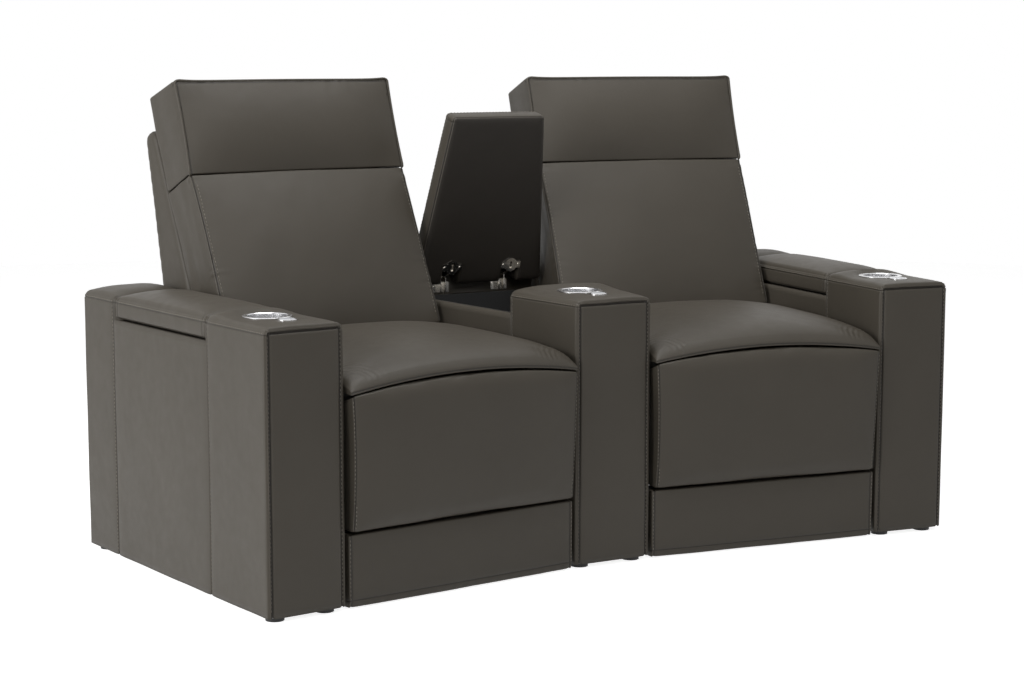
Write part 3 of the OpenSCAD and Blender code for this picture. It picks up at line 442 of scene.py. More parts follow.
def shape_arm(mesh, flat, arm):
    half = arm_half(arm, 0)
    seam = mesh.verts.layers.float.new("seam")
    for vert, (x, y, z) in zip(mesh.verts, flat):
        side_gap, top_gap = half - abs(x), arm_h - z
        lift, rise, dark = 0.0, 0.0, 0.0
        if top_gap < arm_edge:
            rise = crown_rise(x, y, half, arm) * (1 - top_gap / arm_edge)
        if y < arm_front_edge:
            gap, share = min(side_gap, top_gap) - border, 1 - y / arm_front_edge
            lift += front_push(x, z, gap, half, arm) * share
            # Painted shade darkens the sewn valley inside the front's border
            dark = near(gap, 0.0030) * share
        if side_gap < arm_edge:
            draw, tone = side_draw(x, y, z, arm)
            lift -= draw * (1 - side_gap / arm_edge)
            dark = max(dark, tone)
        # The hide is gathered where three seams meet at the front's top corners
        corner = sqrt(side_gap ** 2 + y * y + top_gap ** 2)
        lift += 0.0022 * exp(-corner / 0.016) * noise.noise(Vector((x * 150, y * 150, z * 150)))
        vert.co += vert.normal * lift + Vector((0, 0, rise))
        vert[seam] = dark
        if arm == 0:
            fan_out(vert, x, y, half, 0, arm_depth)


def well(arm):
    """The bin, to cut with."""
    mesh = block((-1, lid_start + well_end, well_floor), (1, lid_end - well_end, above_arm))
    for vert in mesh.verts:
        vert.co.x *= arm_half(arm, vert.co.y) - well_wall
    return mesh


thread_colour = (0.17, 0.155, 0.13, 1)
thread = grained_leather("waxed_thread", thread_colour, thread_colour, 0.5)
stitch_pitch, stitch_reach = 0.0090, 0.03
stitch_half = (0.0009, 0.0030, 0.0008)
stitch_form = bmesh.new()
bmesh.ops.create_icosphere(stitch_form, subdivisions=1, radius=1)
stitch_data = bpy.data.meshes.new("stitch")


def stitch_rows(name, piece, body, rows, place, inwards):
    """Sews rows of thread on a finished piece, but not on faces that look inwards."""
    skin = BVHTree.FromObject(piece, bpy.context.evaluated_depsgraph_get())
    inwards = place.to_3x3() @ Vector(inwards)
    wide, long, thick = stitch_half
    mesh = bmesh.new()
    for row in rows:
        row = [place @ point for point in row]
        spare = 0.0
        for a, b in zip(row, row[1:]):
            length = (b - a).length
            at = spare
            while at < length:
                spot, normal, _, gap = skin.find_nearest(a.lerp(b, at / length))
                if spot is not None and gap < stitch_reach and normal.dot(inwards) < 0.2:
                    across = normal.cross((b - a).normalized()).normalized()
                    along = across.cross(normal)
                    turn = Matrix((across * wide, along * long, normal * thick))
                    turn = turn.transposed().to_4x4()
                    turn.translation = spot + normal * 0.0001
                    stitch_form.to_mesh(stitch_data)
                    stitch_data.transform(turn)
                    mesh.from_mesh(stitch_data)
                at += stitch_pitch
            spare = at - length
    finish_piece(mesh, name, Matrix(), thread, body)


for name, arm in arms:
    cover, flat = arm_box(arm)
    shape_arm(cover, flat, arm)
    tools = [block((-1, lid_start, lid_low - 0.0015), (1, rear_start, 1)), well(arm),
             rod((0, cup_back), cup_hole_r, cup_floor, above_arm),
             rod((0, control_back), control_hole_r, control_floor, above_arm)]
    place = arm_place(arm)
    piece = finish_piece(trimmed(cover, tools), name + "_arm_cover", place, leather, "root",
                         name + "_arm_case")
    edge, rim = arm_half(arm, 0) - border + 0.0012, arm_h - border + 0.0012
    corners = ((-edge, 0.012), (-edge, rim), (edge, rim), (edge, 0.012))
    front = [Vector((x, 0.002, z)) for x, z in corners]
    upright = [[Vector((s * arm_half(arm, y), y, z)) for z in (0.006, arm_h - top_seam - 0.004)]
               for y in (front_seam - 0.0035, rear_seam + 0.0035) for s in (-1, 1)]
    along = [[Vector((s * arm_half(arm, y), y, arm_h - top_seam + 0.0035)) for y in run]
             for run in ((0.012, lid_start - 0.008), (rear_start + 0.012, arm_depth - 0.012))
             for s in (-1, 1)]
    stitch_rows(name + "_arm_stitches", piece, "root", [front] + upright + along, place, (0, 0, -1))

# Arm lids: padded boards on two concealed hinges, with a boxing strip sewn to the crowned top
# and a darker copy of the hide under them, painted shade. The centre lid stands open at 75 degrees.
lid_side, lid_crown = 0.051, 0.016
lid_play, lid_gap = 0.0015, 0.003
lid_soft, lid_tuck = 0.012, 0.005
lid_corner = 0.014
hinge_back, hinge_down = 0.008, 0.007
hinge_cup_back, hinge_cup_r, hinge_cup_deep = 0.047, 0.01756, 0.013
notch_w, notch_d, notch_top = 0.052, 0.044, 0.0515
lid_open = radians(75)
# Painted shade: a darker copy of the hide for the lids' undersides
underside_shade_colour = (0.017, 0.014, 0.011, 1)
underside_shade = grained_leather("lid_underside_shade", underside_shade_colour, underside_shade_colour, 0.5)


def hinge_x(arm):
    half = arm_half(arm, lid_end)
    return min(half * 0.46, half - 0.0506)


def lid_turn(arm):
    at = Vector((0, lid_end - hinge_back, arm_h - hinge_down))
    turn = Matrix.Rotation(-lid_open if arm == 0 else 0, 4, "X")
    return Matrix.Translation(at) @ turn @ Matrix.Translation(-at)


def lid_box(arm):
    half = arm_half(arm, 0) - lid_play
    start = lid_start + lid_gap
    corner_seam = start + lid_corner
    cuts = ((), beside(corner_seam) + beside(lid_end - lid_corner),
            beside(arm_h - top_seam, reach=0.004))
    mesh, flat = padded_block((-half, start, lid_low), (half, lid_end, lid_low + lid_side),
                              (lid_soft, lid_soft * 0.7, lid_tuck),
                              (lid_soft, lid_soft * 0.7, lid_soft), cuts, pitch=0.011)
    seam = mesh.verts.layers.float.new("seam")
    mid, run = (start + lid_end) / 2, (lid_end - start) / 2
    for vert, (x, y, z) in zip(mesh.verts, flat):
        side_gap, end_gap = half - abs(x), min(y - start, lid_end - y)
        inner = min(side_gap, end_gap)
        lift, dark = 0.0, 0.0
        top_share = max(0.0, 1 - (arm_h - z) / lid_soft)
        rise = lid_crown * (1 - (abs(x) / half) ** 2.4) * (1 - 0.8 * (abs(y - mid) / run) ** 6)
        rise += 0.0030 * (1 - exp(-inner / 0.012))
        rise += 0.0012 * noise.noise(Vector((x * 12, y * 10, arm)))
        # The top is thinner at the hinges, so it clears the rear block when the lid is open
        rise *= 1 - 0.7 * exp(-(lid_end - y) / 0.020)
        # The padding also lifts the underside's rim, round its flat middle
        lower = 0.0035 * exp(-inner / 0.010) if z < lid_low + lid_tuck else 0.0
        if inner < lid_soft:
            up, strip_gap = (z - lid_low) / lid_side, z - (arm_h - top_seam)
            groove, corner = near(strip_gap, 0.0014), 0.0
            if side_gap < end_gap:
                corner = near(y - corner_seam, 0.0014) + near(y - lid_end + lid_corner, 0.0014)
            lift = 0.0052 * up * (1 - up) - 0.0016 * groove - 0.0012 * corner - 0.0010
            lift += 0.0005 * gather(y + x, abs(strip_gap), 0.010, arm)
            lift += 0.0008 * gather(z, abs(y - corner_seam), 0.010, arm + 9)
            # Painted shade darkens the boxing strip's groove and the corner seams
            dark = max(0.5 * groove, 0.6 * corner)
            lift *= 1 - inner / lid_soft
        vert.co += vert.normal * lift + Vector((0, 0, rise * top_share + lower))
        vert[seam] = dark
        if arm == 0:
            fan_out(vert, x, y, half, start, lid_end)
    return mesh


for name, arm in arms:
    tools = []
    for x in (-hinge_x(arm), hinge_x(arm)):
        tools.append(block((x - notch_w / 2, lid_end - notch_d, lid_low - 0.02),
                           (x + notch_w / 2, lid_end + 0.02, lid_low + notch_top)))
        tools.append(rod((x, lid_end - hinge_cup_back), hinge_cup_r, lid_low - 0.02,
                         lid_low + hinge_cup_deep))
    lid, turn = trimmed(lid_box(arm), tools), lid_turn(arm)
    bmesh.ops.transform(lid, matrix=turn, verts=lid.verts)
    piece = finish_piece(lid, name + "_lid_cover", arm_place(arm), leather, name + "_lid",
                         name + "_arm_lid")
    place = arm_place(arm) @ turn
    # The flat underside, and a strip that turns up round its rim, get the darker copy of the hide:
    # painted shade on the faces that look down
    piece.data.materials.append(underside_shade)
    down = place.to_3x3() @ Vector((0, 0, -1))
    for face in piece.data.polygons:
        if face.normal.dot(down) > 0.7:
            face.material_index = 1
    start, line = lid_start + lid_gap, arm_h - top_seam + 0.0036
    front, rear = arm_half(arm, start), arm_half(arm, lid_end)
    left = [(-rear, lid_end - 0.016), (-front, start + 0.010), (0.012 - front, start)]
    right = [(-x, y) for x, y in reversed(left)]
    rim = [Vector((x, y, line)) for x, y in left + right]
    stitch_rows(name + "_lid_stitches", piece, name + "_lid", [rim], place, (0, 0, -1))

# Seat cushions: crowned foam under sewn hide. The top slopes down to an arched front seam with
# a thin lip, and the front is hollow underneath, where the leg rest's top goes in. The hide is
# blown up a little by a cloth simulation that is held along its seams and where it rests.
sides = (("left", -1), ("right", 1))
seat_half = 0.2985
seat_front, seat_deep = -0.018, 0.580
seat_low, lip_low, lip_arch = 0.392, 0.4505, 0.025
lip_t, seat_crown = 0.0045, 0.026
seat_net_h, fold_pitch, top_level = 0.1, 0.0035, 0.46
cloth_frames = 20


def foam_filled(mesh, held, pressure, cap):
    """Blows the cover up with a cloth simulation. held says how firmly a point is sewn or glued."""
    cover = as_object(mesh, "cover")
    rest = [v.co.copy() for v in cover.data.vertices]
    group = cover.vertex_groups.new(name="held")
    for vert in cover.data.vertices:
        group.add([vert.index], min(1.0, held(vert.co)), "REPLACE")
    cloth = cover.modifiers.new("foam", "CLOTH")
    hide = cloth.settings
    hide.quality = 5
    hide.mass = 0.4
    hide.tension_stiffness = hide.compression_stiffness = 14
    hide.shear_stiffness = 7
    hide.bending_stiffness = 1.5
    hide.use_pressure = True
    hide.uniform_pressure_force = pressure
    hide.vertex_group_mass = "held"
    hide.effector_weights.gravity = 0
    cloth.point_cache.frame_start = 1
    cloth.point_cache.frame_end = cloth_frames
    for number in range(1, cloth_frames + 1):
        scene.frame_set(number)
    blown = evaluated(cover)
    cover.modifiers.clear()
    for vert, was in zip(blown.vertices, rest):
        step = vert.co - was
        if step.length > cap:
            vert.co = was + step * (cap / step.length)
    cover.data = blown
    scene.frame_set(1)
    finer = cover.modifiers.new("finer", "SUBSURF")
    finer.levels = finer.render_levels = 1
    return taken_from(cover)


def sew(mesh, seam, depth, folds, seed):
    """Draws the cover in along a seam, which gives a point's gap to it and its run along it."""
    groove_shade_layer = mesh.verts.layers.float.new("seam")
    mesh.normal_update()
    for vert in mesh.verts:
        gap, run = seam(vert.co)
        pull = 0.0
        if gap < 0.09:
            pull = depth * (near(gap, 0.0020) + 0.4 * near(gap, 0.012))
            pull += folds * gather(run, gap, 0.020, seed)
        # The seam attribute is painted shade in the seam's groove
        vert[groove_shade_layer] = near(gap, 0.0016)
        pull += 0.0010 * noise.noise(vert.co * 9 + Vector((0, 0, seed)))
        vert.co -= vert.normal * pull


def seat_top(t, across):
    """Height of the seat's top at a depth t behind its front, and at its place across, 0 to 1."""
    rise = lip_low + lip_t + 0.027 * (1 - exp(-t / 0.013)) + 0.026 * (1 - exp(-t / 0.095))
    rise -= 0.012 * (max(0, t - 0.38) / 0.15) ** 2
    rise -= 0.016 * max(0, (across - 0.86) / 0.14) ** 3 * min(1, t / 0.02)
    arch = 1 - 0.35 * (max(0, t - 0.30) / 0.23) ** 2
    return rise + seat_crown * max(0.0, arch) * (1 - across * across)


def seat_under(t, across):
    roof = lip_low + 0.002 * min(1, t / 0.06) + lip_arch * (1 - across * across)
    return roof + (seat_low - roof) * part(t - 0.062, 0.030)


def shape_seat(mesh):
    for vert in mesh.verts:
        x, t, share = vert.co.x, vert.co.y, vert.co.z / seat_net_h
        across = min(1.0, abs(x) / seat_half)
        low, high = seat_under(t, across), seat_top(t, across)
        vert.co = Vector((x, seat_front + t, low + (high - low) * share))


def seat_seam(point):
    """The lip that joins the top to the front, along the cushion's front edge."""
    if point.y > seat_front + 0.02:
        return 1, 0
    line = lip_low + lip_t + lip_arch * (1 - (point.x / seat_half) ** 2)
    return sqrt((point.z - line) ** 2 + (0.8 * (point.y - seat_front)) ** 2), point.x


def seat_held(point):
    if point.z < 0.42:
        return 1.0
    lip = 0.0
    if point.y < 0.075:
        # The hide is sewn along the lip, and its hold fades out above it
        above = point.z - seat_under(point.y - seat_front, min(1, abs(point.x) / seat_half))
        lip = part(0.034 - above, 0.024)
    return max(lip, 0.6 * part(abs(point.x) - 0.27, 0.02))


def pair_of(mesh_of, piece, body, node, rows=(), material=leather):
    """Makes the right and the left one of a piece; the left is the right one's mirror."""
    for number, (name, side) in enumerate(sides):
        place, carrier = seat_place(side), body if body == "root" else name + "_" + body
        made = finish_piece(mesh_of(number), name + "_" + piece, place, material, carrier,
                            name + "_" + node)
        if rows:
            stitch_rows(name + "_" + piece + "_stitches", made, carrier, rows, place, (0, 1, 0))


shaped_seat = padded_block((-seat_half, 0, 0), (seat_half, seat_deep, seat_net_h),
                           (0.008, 0.003, 0.010), (0.008, 0.010, 0.012))[0]
shape_seat(shaped_seat)
seat_cover = foam_filled(shaped_seat, seat_held, 2.2, 0.006)
cut_across(seat_cover, 0, both(even(0.19, 0.290, fold_pitch)))
cut_across(seat_cover, 1, [seat_front + t for t in (0.0015, 0.003, 0.0045, 0.006, 0.008)]
           + even(seat_front + 0.010, seat_front + 0.115, fold_pitch))
# Where a cut passes close by a point of the net, the two become one
bmesh.ops.remove_doubles(seat_cover, dist=0.00035, verts=[
    v for v in seat_cover.verts if v.co.y > seat_front + 0.002 and v.co.z > top_level])


def sewn_seat(number):
    mesh = seat_cover.copy()
    sew(mesh, seat_seam, 0.0016, 0.0003, number + 1)
    # Folds of slack hide curl round the front corners
    for vert in mesh.verts:
        if vert.co.z > top_level and vert.co.y > seat_front + 0.012:
            turn = sqrt((seat_half - abs(vert.co.x)) ** 2 + (vert.co.y - seat_front) ** 2)
            wave = turn * 470 + 3 * noise.noise(Vector((vert.co.x * 9, vert.co.y * 9, number)))
            vert.co.z += 0.0006 * exp(-((turn - 0.070) / 0.030) ** 2) * sin(wave)
    return mesh


pair_of(sewn_seat, "seat_cover", "carriage", "seat_cushion")

# Leg rests: a padded board cover that bulges in front, with a narrow band sewn down each side
# and a top edge that follows the seat's arched lip. It rides on the leg-rest board.
leg_half = 0.2975
leg_front, leg_deep, leg_low, leg_tall = -0.020, 0.062, 0.157, 0.2930
leg_arch = 0.024
leg_soft = (0.006, 0.007, 0.005)
band, seam_pitch = 0.0042, 0.0014


def leg_edge(up):
    """Half the front panel's width, which is drawn in towards the foot."""
    return leg_half - 0.0045 * (1 - up) - 0.0025 * (1 - (2 * up - 1) ** 2)


def shape_leg(mesh):
    for vert in mesh.verts:
        x, y, z = vert.co
        across = 1 - (x / leg_half) ** 2
        up = z / leg_tall
        facing = 1 - y / leg_deep
        swell = (0.3 + 0.7 * across) * (1 - (2 * up - 1) ** 4)
        vert.co.y = leg_front + y + facing * (0.011 * max(0, 1 - up) ** 1.5 - 0.0075 * swell)
        vert.co.x = x * leg_edge(up) / leg_half
        vert.co.z = leg_low + z + up ** 3 * (leg_arch * across - 0.024 * y / leg_deep)


def leg_seam(point):
    if point.y > leg_front + 0.020:
        return 1, 0
    up = (point.z - leg_low) / leg_tall
    return abs(abs(point.x) - (leg_edge(up) - band)), point.z


def leg_held(point):
    return 1.0 if point.y > 0.030 else 0.9 * near(leg_seam(point)[0], 0.006)


leg_net = padded_block((-leg_half, 0, 0), (leg_half, leg_deep, leg_tall), leg_soft, leg_soft,
                       (both([leg_half - band]), (), ()))[0]
shape_leg(leg_net)
leg_cover = foam_filled(leg_net, leg_held, 2.0, 0.006)
cut_across(leg_cover, 0, both(leg_half - band - g for g in even(-0.003, 0.011, seam_pitch)))


def sewn_leg(number):
    mesh = leg_cover.copy()
    sew(mesh, leg_seam, 0.0022, 0.0004, number + 4)
    return mesh


pair_of(sewn_leg, "leg_rest_cover", "leg_rest", "leg_rest_pad",
        [[Vector((s * (leg_edge(up) - band + 0.0032), leg_front - 0.002, leg_low + up * leg_tall))
          for up in (0.03, 0.25, 0.5, 0.75, 0.98)] for s in (-1, 1)])

# Kick boards: thin boards covered in hide between the arms' feet, with a sewn band down each
# side and a hem along the foot. A black sheet behind them closes the gap over the board: painted
# shade.
kick_front, kick_deep, kick_low, kick_tall = 0.001, 0.030, -0.008, 0.1585
kick_band, hem = 0.0075, 0.016
# Painted shade: the near-black sheet put in the gap behind the kick boards
shade_sheet_black = (0.010, 0.010, 0.011, 1)


def shape_kick(mesh):
    for vert in mesh.verts:
        x, y, z = vert.co
        swell = (1 - (x / leg_half) ** 2) * (1 - (2 * z / kick_tall - 1) ** 4)
        tuck = 0.004 * max(0, 1 - z / hem)
        push = (1 - y / kick_deep) * (0.0035 * swell - tuck)
        vert.co = Vector((x, kick_front + y - push, kick_low + z))


def kick_seam(point):
    if point.y > kick_front + 0.010:
        return 1, 0
    side = abs(abs(point.x) - (leg_half - kick_band))
    foot = abs(point.z - (kick_low + hem))
    return (side, point.z) if side < foot else (foot, point.x)


band_cuts = both(leg_half - kick_band - g for g in even(-0.004, 0.004, seam_pitch))
kick_net = padded_block((-leg_half, 0, 0), (leg_half, kick_deep, kick_tall),
                        (0.004, 0.004, 0.003), (0.004, 0.003, 0.004),
                        (band_cuts, (), even(hem - 0.004, hem + 0.004, seam_pitch)))[0]
shape_kick(kick_net)


def sewn_kick(number):
    mesh = kick_net.copy()
    sew(mesh, kick_seam, 0.0018, 0.0003, number + 7)
    return mesh


pair_of(sewn_kick, "kick_cover", "root", "kick_board",
        [[Vector((s * (leg_half - kick_band + 0.0030), kick_front - 0.002, kick_low + z))
          for z in (hem + 0.004, kick_tall - 0.004)] for s in (-1, 1)])

shade_sheet_fabric = grained_leather("shade_sheet_fabric", shade_sheet_black, shade_sheet_black, 0.85)
# Black sheets behind the kick boards, painted shade in the gap over the board
for name, side in sides:
    strip = block((-0.3042, kick_front + kick_deep + 0.0006, 0.030),
                  (0.3042, kick_front + kick_deep + 0.0016, 0.1575))
    cloth = finish_piece(strip, name + "_shade_sheet", seat_place(side), shade_sheet_fabric, "root")

# Lower backs: deep pads with a stitched seam down each side of the front. They are hollow
# behind, where the timber frame goes in, and lean back by 24 degrees on it.
back_half = 0.295
back_side = 0.0045
back_deep, back_tall = 0.128, 0.409
back_lean = radians(24.3)
back_foot = Vector((0, 0.522, 0.502))
pocket = ((-0.270, 0.084, -0.4), (0.270, 0.4, 0.396))
leaf_slot = ((-0.1977, 0.1096, 0.39), (0.1977, 0.1132, 0.6))
# The back's own frame in a seat's: y into the back, z up along its lean
back_place = Matrix.Translation(back_foot) @ Matrix.Rotation(-back_lean, 4, "X")


def back_draw(up):
    """How far the lower back's sides are drawn in at mid-height."""
    return 0.002 * (1 - (2 * up - 1) ** 2)


def shape_back(mesh):
    for vert in mesh.verts:
        x, y, z = vert.co
        across = 1 - (x / back_half) ** 2
        up = z / back_tall
        facing = 1 - y / back_deep
        swell = across * (1 - abs(up - 0.55) ** 2.2 / 0.55 ** 2.2) * 0.024
        swell += 0.004 * (1 - (2 * up - 1) ** 2)
        # The top of the front stands back a little under the headrest
        swell -= 0.003 * max(0, (up - 0.93) / 0.07) ** 2
        vert.co = Vector((x - copysign(1, x) * back_draw(up) * (abs(x) / back_half) ** 3,
                          y - facing * swell, z + 0.0025 * (abs(x) / back_half) ** 30 * up ** 30))


def back_seam(point):
    if point.y > 0.014:
        return 1, 0
    return abs(abs(point.x) - (back_half - back_side - back_draw(point.z / back_tall))), point.z


def back_held(point):
    if point.y > 0.07 or point.z < 0.006 or point.z > back_tall - 0.006:
        return 1.0
    return 0.9 * near(back_seam(point)[0], 0.006)


back_net = padded_block((-back_half, 0, 0), (back_half, back_deep, back_tall),
                        (back_side, 0.006, 0.012), (back_side, 0.010, 0.0035),
                        (both([back_half - back_side]), (), ()))[0]
shape_back(back_net)
back_cover = foam_filled(back_net, back_held, 2.2, 0.009)
cut_across(back_cover, 0, both(back_half - g for g in even(0.0005, 0.013, 0.0013)))
cut_across(back_cover, 2, even(0.0, back_tall, 0.006))


def sewn_back(number):
    mesh = back_cover.copy()
    sew(mesh, back_seam, 0.0024, 0.0009, number + 11)
    # Slack hide on the side panels hangs in shallow upright folds
    for vert in mesh.verts:
        if back_half - abs(vert.co.x) < 0.02 and vert.co.y > 0.015:
            fold = noise.noise(Vector((vert.co.y * 34, vert.co.z * 6, number + 2)))
            vert.co.x -= copysign(1, vert.co.x) * 0.0022 * (0.5 + fold)
    mesh = trimmed(mesh, [block(*pocket), block(*leaf_slot)])
    bmesh.ops.transform(mesh, matrix=back_place, verts=mesh.verts)
    return mesh


pair_of(sewn_back, "back_cover", "back", "back_cushion",
        [[back_place @ Vector((s * (back_half - 0.0125), -0.004, z))
          for z in (0.03, back_tall - 0.022)] for s in (-1, 1)])

# Headrests: pads that lean 6.5 degrees towards the sitter on a hinge with steel posts. The
# front panel bulges between piped edges, and its foot tucks under, over the lower back.
head_foot, head_tall = 0.4145, 0.218
head_lean = radians(6.5)
head_ears = 0.0045
post_x, post_y, post_top, post_bore = 0.13111, 0.066, 0.5269, 0.0083
piping_r, piping_sunk, piping_tuck = 0.0031, 0.0012, 0.004


def head_draw(up):
    return 0.0030 * (1 - (2 * up - 1) ** 2)


def shape_head(mesh):
    for vert in mesh.verts:
        x, y, z = vert.co
        out = abs(x) / back_half
        up = z / head_tall
        facing = 1 - y / back_deep
        swell = 0.022 * (1 - (x / back_half) ** 4) * (1 - abs(2 * up - 1) ** 2)
        rear = 0.0155 * max(0.0, (z - 0.142) / 0.089) * (1 - facing)
        # The foot hangs over the top of the lower back in front of the hinge
        droop = 0.005 * (1 - up) ** 8 * max(0, 1 - y / 0.010) + 0.0015 * out ** 30 * (1 - up) ** 8
        lifted = 0.011 * (max(0.0, y - 0.112) / 0.016) ** 2.2 * max(0.0, 1 - 8 * up)
        crown = (0.0135 * (1 - facing) + 0.002 * (1 - (x / back_half) ** 2)
                 + head_ears * out ** 8 * up ** 4)
        vert.co = Vector((x - copysign(1, x) * head_draw(up) * out ** 3,
                          y - facing * (z * tan(head_lean) + swell) - rear,
                          lifted + head_foot + z - droop + up ** 2 * crown))


def head_edge(up, s):
    """The piped edge of the front panel, from the foot up."""
    z = up * head_tall
    return Vector((s * (back_half - head_draw(up) - piping_sunk), piping_sunk - z * tan(head_lean),
                   head_foot + z - 0.004 * (1 - up) ** 8 + up ** 4 * head_ears))


def head_held(point):
    z = point.z - head_foot
    rim = min(back_half - abs(point.x), abs(head_tall - z))
    sewn = rim < 0.007 and point.y < 0.012 - z * tan(head_lean)
    return 1.0 if sewn or point.y > 0.07 or z < 0.006 else 0.0


head_net = padded_block((-back_half, 0, 0), (back_half, back_deep, head_tall),
                        (back_side, 0.004, 0.004), (back_side, 0.012, 0.004))[0]
shape_head(head_net)
head_cover = foam_filled(head_net, head_held, 2.0, 0.009)
cut_across(head_cover, 0, both(back_half - g for g in even(0.001, 0.012, seam_pitch)))


def head_seam(point):
    z = point.z - head_foot
    if point.y > -z * tan(head_lean) + 0.014:
        return 1, 0
    side, top = abs(abs(point.x) - (back_half - 0.006)), abs(z - head_tall + 0.004)
    return (side, z) if side < top else (top, point.x)


def sewn_head(number):
    mesh = head_cover.copy()
    sew(mesh, head_seam, 0.0008, 0.0006, number + 17)
    posts = [rod((x, post_y), post_bore, back_tall - 0.01, post_top) for x in (-post_x, post_x)]
    mesh = trimmed(mesh, posts)
    bmesh.ops.transform(mesh, matrix=back_place, verts=mesh.verts)
    return mesh


pair_of(sewn_head, "headrest_cover", "headrest", "headrest_pad")


def piping(name, path, body):
    """A leather-covered cord sewn into a seam: a curve with a round section, made a mesh."""
    line = bpy.data.curves.new(name, "CURVE")
    line.dimensions = "3D"
    line.bevel_depth = piping_r
    line.bevel_resolution = 2
    line.use_fill_caps = True
    spline = line.splines.new("POLY")
    spline.points.add(len(path) - 1)
    for point, at in zip(spline.points, path):
        point.co = (*at, 1)
    return finish_piece(taken_from(put("cord", line)), name, Matrix(), leather, body)


def give(piece):
    """Gives a headrest piece a mesh of its own."""
    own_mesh(piece)


def smooth_path(points):
    """Cuts a path's corners off, twice."""
    for _ in range(2):
        finer = [points[0]]
        for a, b in zip(points, points[1:]):
            finer += [a.lerp(b, 0.25), a.lerp(b, 0.75)]
        points = finer + [points[-1]]
    return points


tucked = Vector((piping_tuck, piping_tuck, 0))
left = [head_edge(0, -1) + tucked] + [head_edge(k / 12, -1) for k in range(13)]
right = [Vector((-point.x, point.y, point.z)) for point in reversed(left)]
top = []
for k in range(1, 16):
    x = back_half * (2 * k / 16 - 1)
    out = abs(x) / back_half
    top.append(Vector((x, piping_sunk - head_tall * tan(head_lean), head_foot + head_tall - 0.0005
                       + 0.002 * (1 - (x / back_half) ** 2) + head_ears * out ** 8)))
head_path = smooth_path(left + top + right)
for name, side in sides:
    path = [seat_place(side) @ (back_place @ point) for point in head_path]
    cord = piping(name + "_headrest_piping", path, name + "_headrest")
    give(cord)
    give(bpy.data.objects[name + "_headrest_cover"])

# Back shells: the padded outer boards behind the backs, with hide drawn tight over a thin
# layer of foam and a seam where the rear panel meets the side strips.
shell_leather = grained_leather("shell_leather", hide_light, hide_dark, 0.46)
shell_seam_x = 0.280


def shell_mesh():
    """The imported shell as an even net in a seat's frame, with foam over it."""
    packed = bmesh.new()
    packed.from_mesh(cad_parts["right_back_shell"].data)
    bmesh.ops.remove_doubles(packed, verts=packed.verts, dist=1e-5)
    bmesh.ops.transform(packed, matrix=seat_place(1).inverted(), verts=packed.verts)
    cover = as_object(packed, "shell")
    grid = cover.modifiers.new("grid", "REMESH")
    grid.mode = "VOXEL"
    grid.voxel_size = 0.006
    mesh = taken_from(cover)
    for _ in range(3):
        bmesh.ops.smooth_vert(mesh, verts=mesh.verts, factor=0.5,
                              use_axis_x=True, use_axis_y=True, use_axis_z=True)
    # The foam under the rear panel stands out behind the board
    mesh.normal_update()
    for vert, normal in [(v, v.normal.copy()) for v in mesh.verts]:
        vert.co += normal * (0.0015 + 0.007 * max(0, normal.y))
    return mesh


shell_cover = shell_mesh()


def shell_seam(point):
    return abs(abs(point.x) - shell_seam_x), point.z


def sewn_shell(number):
    mesh = shell_cover.copy()
    sew(mesh, shell_seam, 0.0012, 0.0004, number + 23)
    return mesh


pair_of(sewn_shell, "shell_cover", "back", "back_shell", material=shell_leather)

# Metal and plastic: brushed steel cup holders and control pads, nickel hinges, zinc-plated
# links, black powder-coated frames, moulded liners and glides, and bare timber boards.


def worn_metal(name, colour, rough, spread, upright=1):
    """Metal with fine marks, which a small value of upright draws out into brushed streaks."""
    material, tree, shader = new_material(name)
    place = add_node(tree, "TexCoord", "Object", {})
    stretch = add_node(tree, "Mapping", "Vector", {"Vector": place, "Scale": (1, 1, upright)})
    grit = add_node(tree, "TexNoise", "Fac", {"Vector": stretch, "Scale": 240, "Detail": 3})
    gloss = add_node(tree, "MapRange", "Result",
                     {"Value": grit, "To Min": rough, "To Max": rough + spread})
    bump = add_node(tree, "Bump", "Normal", {"Height": grit, "Strength": 0.06, "Distance": 0.0005})
    feed(tree, shader, {"Base Color": colour, "Metallic": 1, "Roughness": gloss, "Normal": bump})
    return material


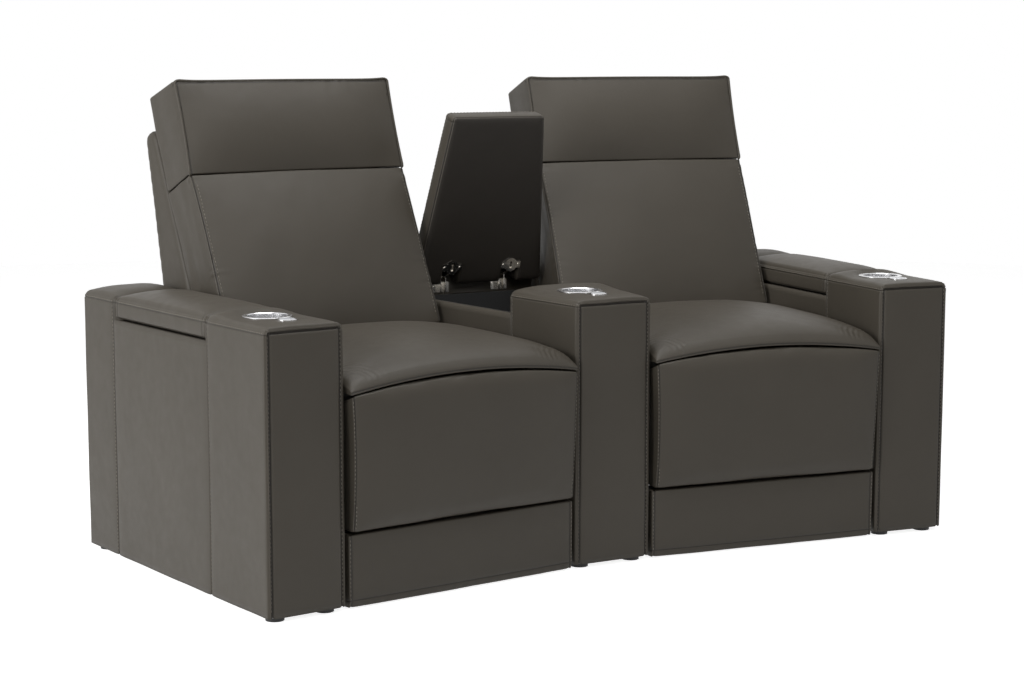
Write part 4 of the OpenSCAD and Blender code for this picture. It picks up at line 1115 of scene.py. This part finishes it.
def moulded_plastic(name, colour, rough, grain):
    material, tree, shader = new_material(name)
    place = add_node(tree, "TexCoord", "Object", {})
    speck = add_node(tree, "TexNoise", "Fac", {"Vector": place, "Scale": 900})
    darker = (*(c * 0.85 for c in colour[:3]), 1)
    tone = mixed(tree, speck, darker, colour)
    bump = add_node(tree, "Bump", "Normal",
                    {"Height": speck, "Strength": grain, "Distance": 0.0004})
    feed(tree, shader, {"Base Color": tone, "Roughness": rough, "Normal": bump})
    return material


timber, tree, shader = new_material("timber")
place = add_node(tree, "TexCoord", "Object", {})
stretch = add_node(tree, "Mapping", "Vector", {"Vector": place, "Scale": (4, 60, 60)})
rings = add_node(tree, "TexNoise", "Fac", {"Vector": stretch, "Scale": 2, "Detail": 6})
tone = mixed(tree, rings, (0.42, 0.27, 0.14, 1), (0.62, 0.45, 0.27, 1))
bump = add_node(tree, "Bump", "Normal", {"Height": rings, "Strength": 0.2, "Distance": 0.0006})
feed(tree, shader, {"Base Color": tone, "Roughness": 0.65, "Normal": bump})

cup_steel = worn_metal("cup_steel", (0.78, 0.78, 0.79, 1), 0.18, 0.12, 0.05)
pad_steel = worn_metal("pad_steel", (0.82, 0.82, 0.83, 1), 0.14, 0.10)
nickel = worn_metal("nickel", (0.80, 0.77, 0.72, 1), 0.12, 0.12)
zinc = worn_metal("zinc", (0.60, 0.61, 0.63, 1), 0.30, 0.15)
powder_black = moulded_plastic("powder_black", (0.03, 0.03, 0.032, 1), 0.42, 0.25)
moulded_black = moulded_plastic("moulded_black", (0.009, 0.009, 0.009, 1), 0.62, 0.30)
key_plastic = moulded_plastic("key_plastic", (0.60, 0.61, 0.63, 1), 0.28, 0.05)
per_arm = (("cup_holder", cup_steel), ("control_pad", pad_steel), ("hinge_cups", nickel),
           ("recline_key", key_plastic), ("headrest_key", key_plastic),
           ("bin_liner", moulded_black))
per_seat = (("base_frame", powder_black), ("seat_frame", powder_black),
            ("back_frame", powder_black), ("headrest_frame", powder_black),
            ("gear_motors", moulded_black), ("seat_springs", zinc), ("main_links", zinc),
            ("far_links", zinc), ("cross_links", zinc), ("tie_links", zinc),
            ("leg_rest_board", timber))
painted = [("hinge_plates", nickel), ("glides", moulded_black)]
for names, things in ((arms, per_arm), (sides, per_seat)):
    painted += [(name + "_" + thing, material) for name, _ in names for thing, material in things]
for node, material in painted:
    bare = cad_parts[node].data
    bare.materials.clear()
    bare.materials.append(material)
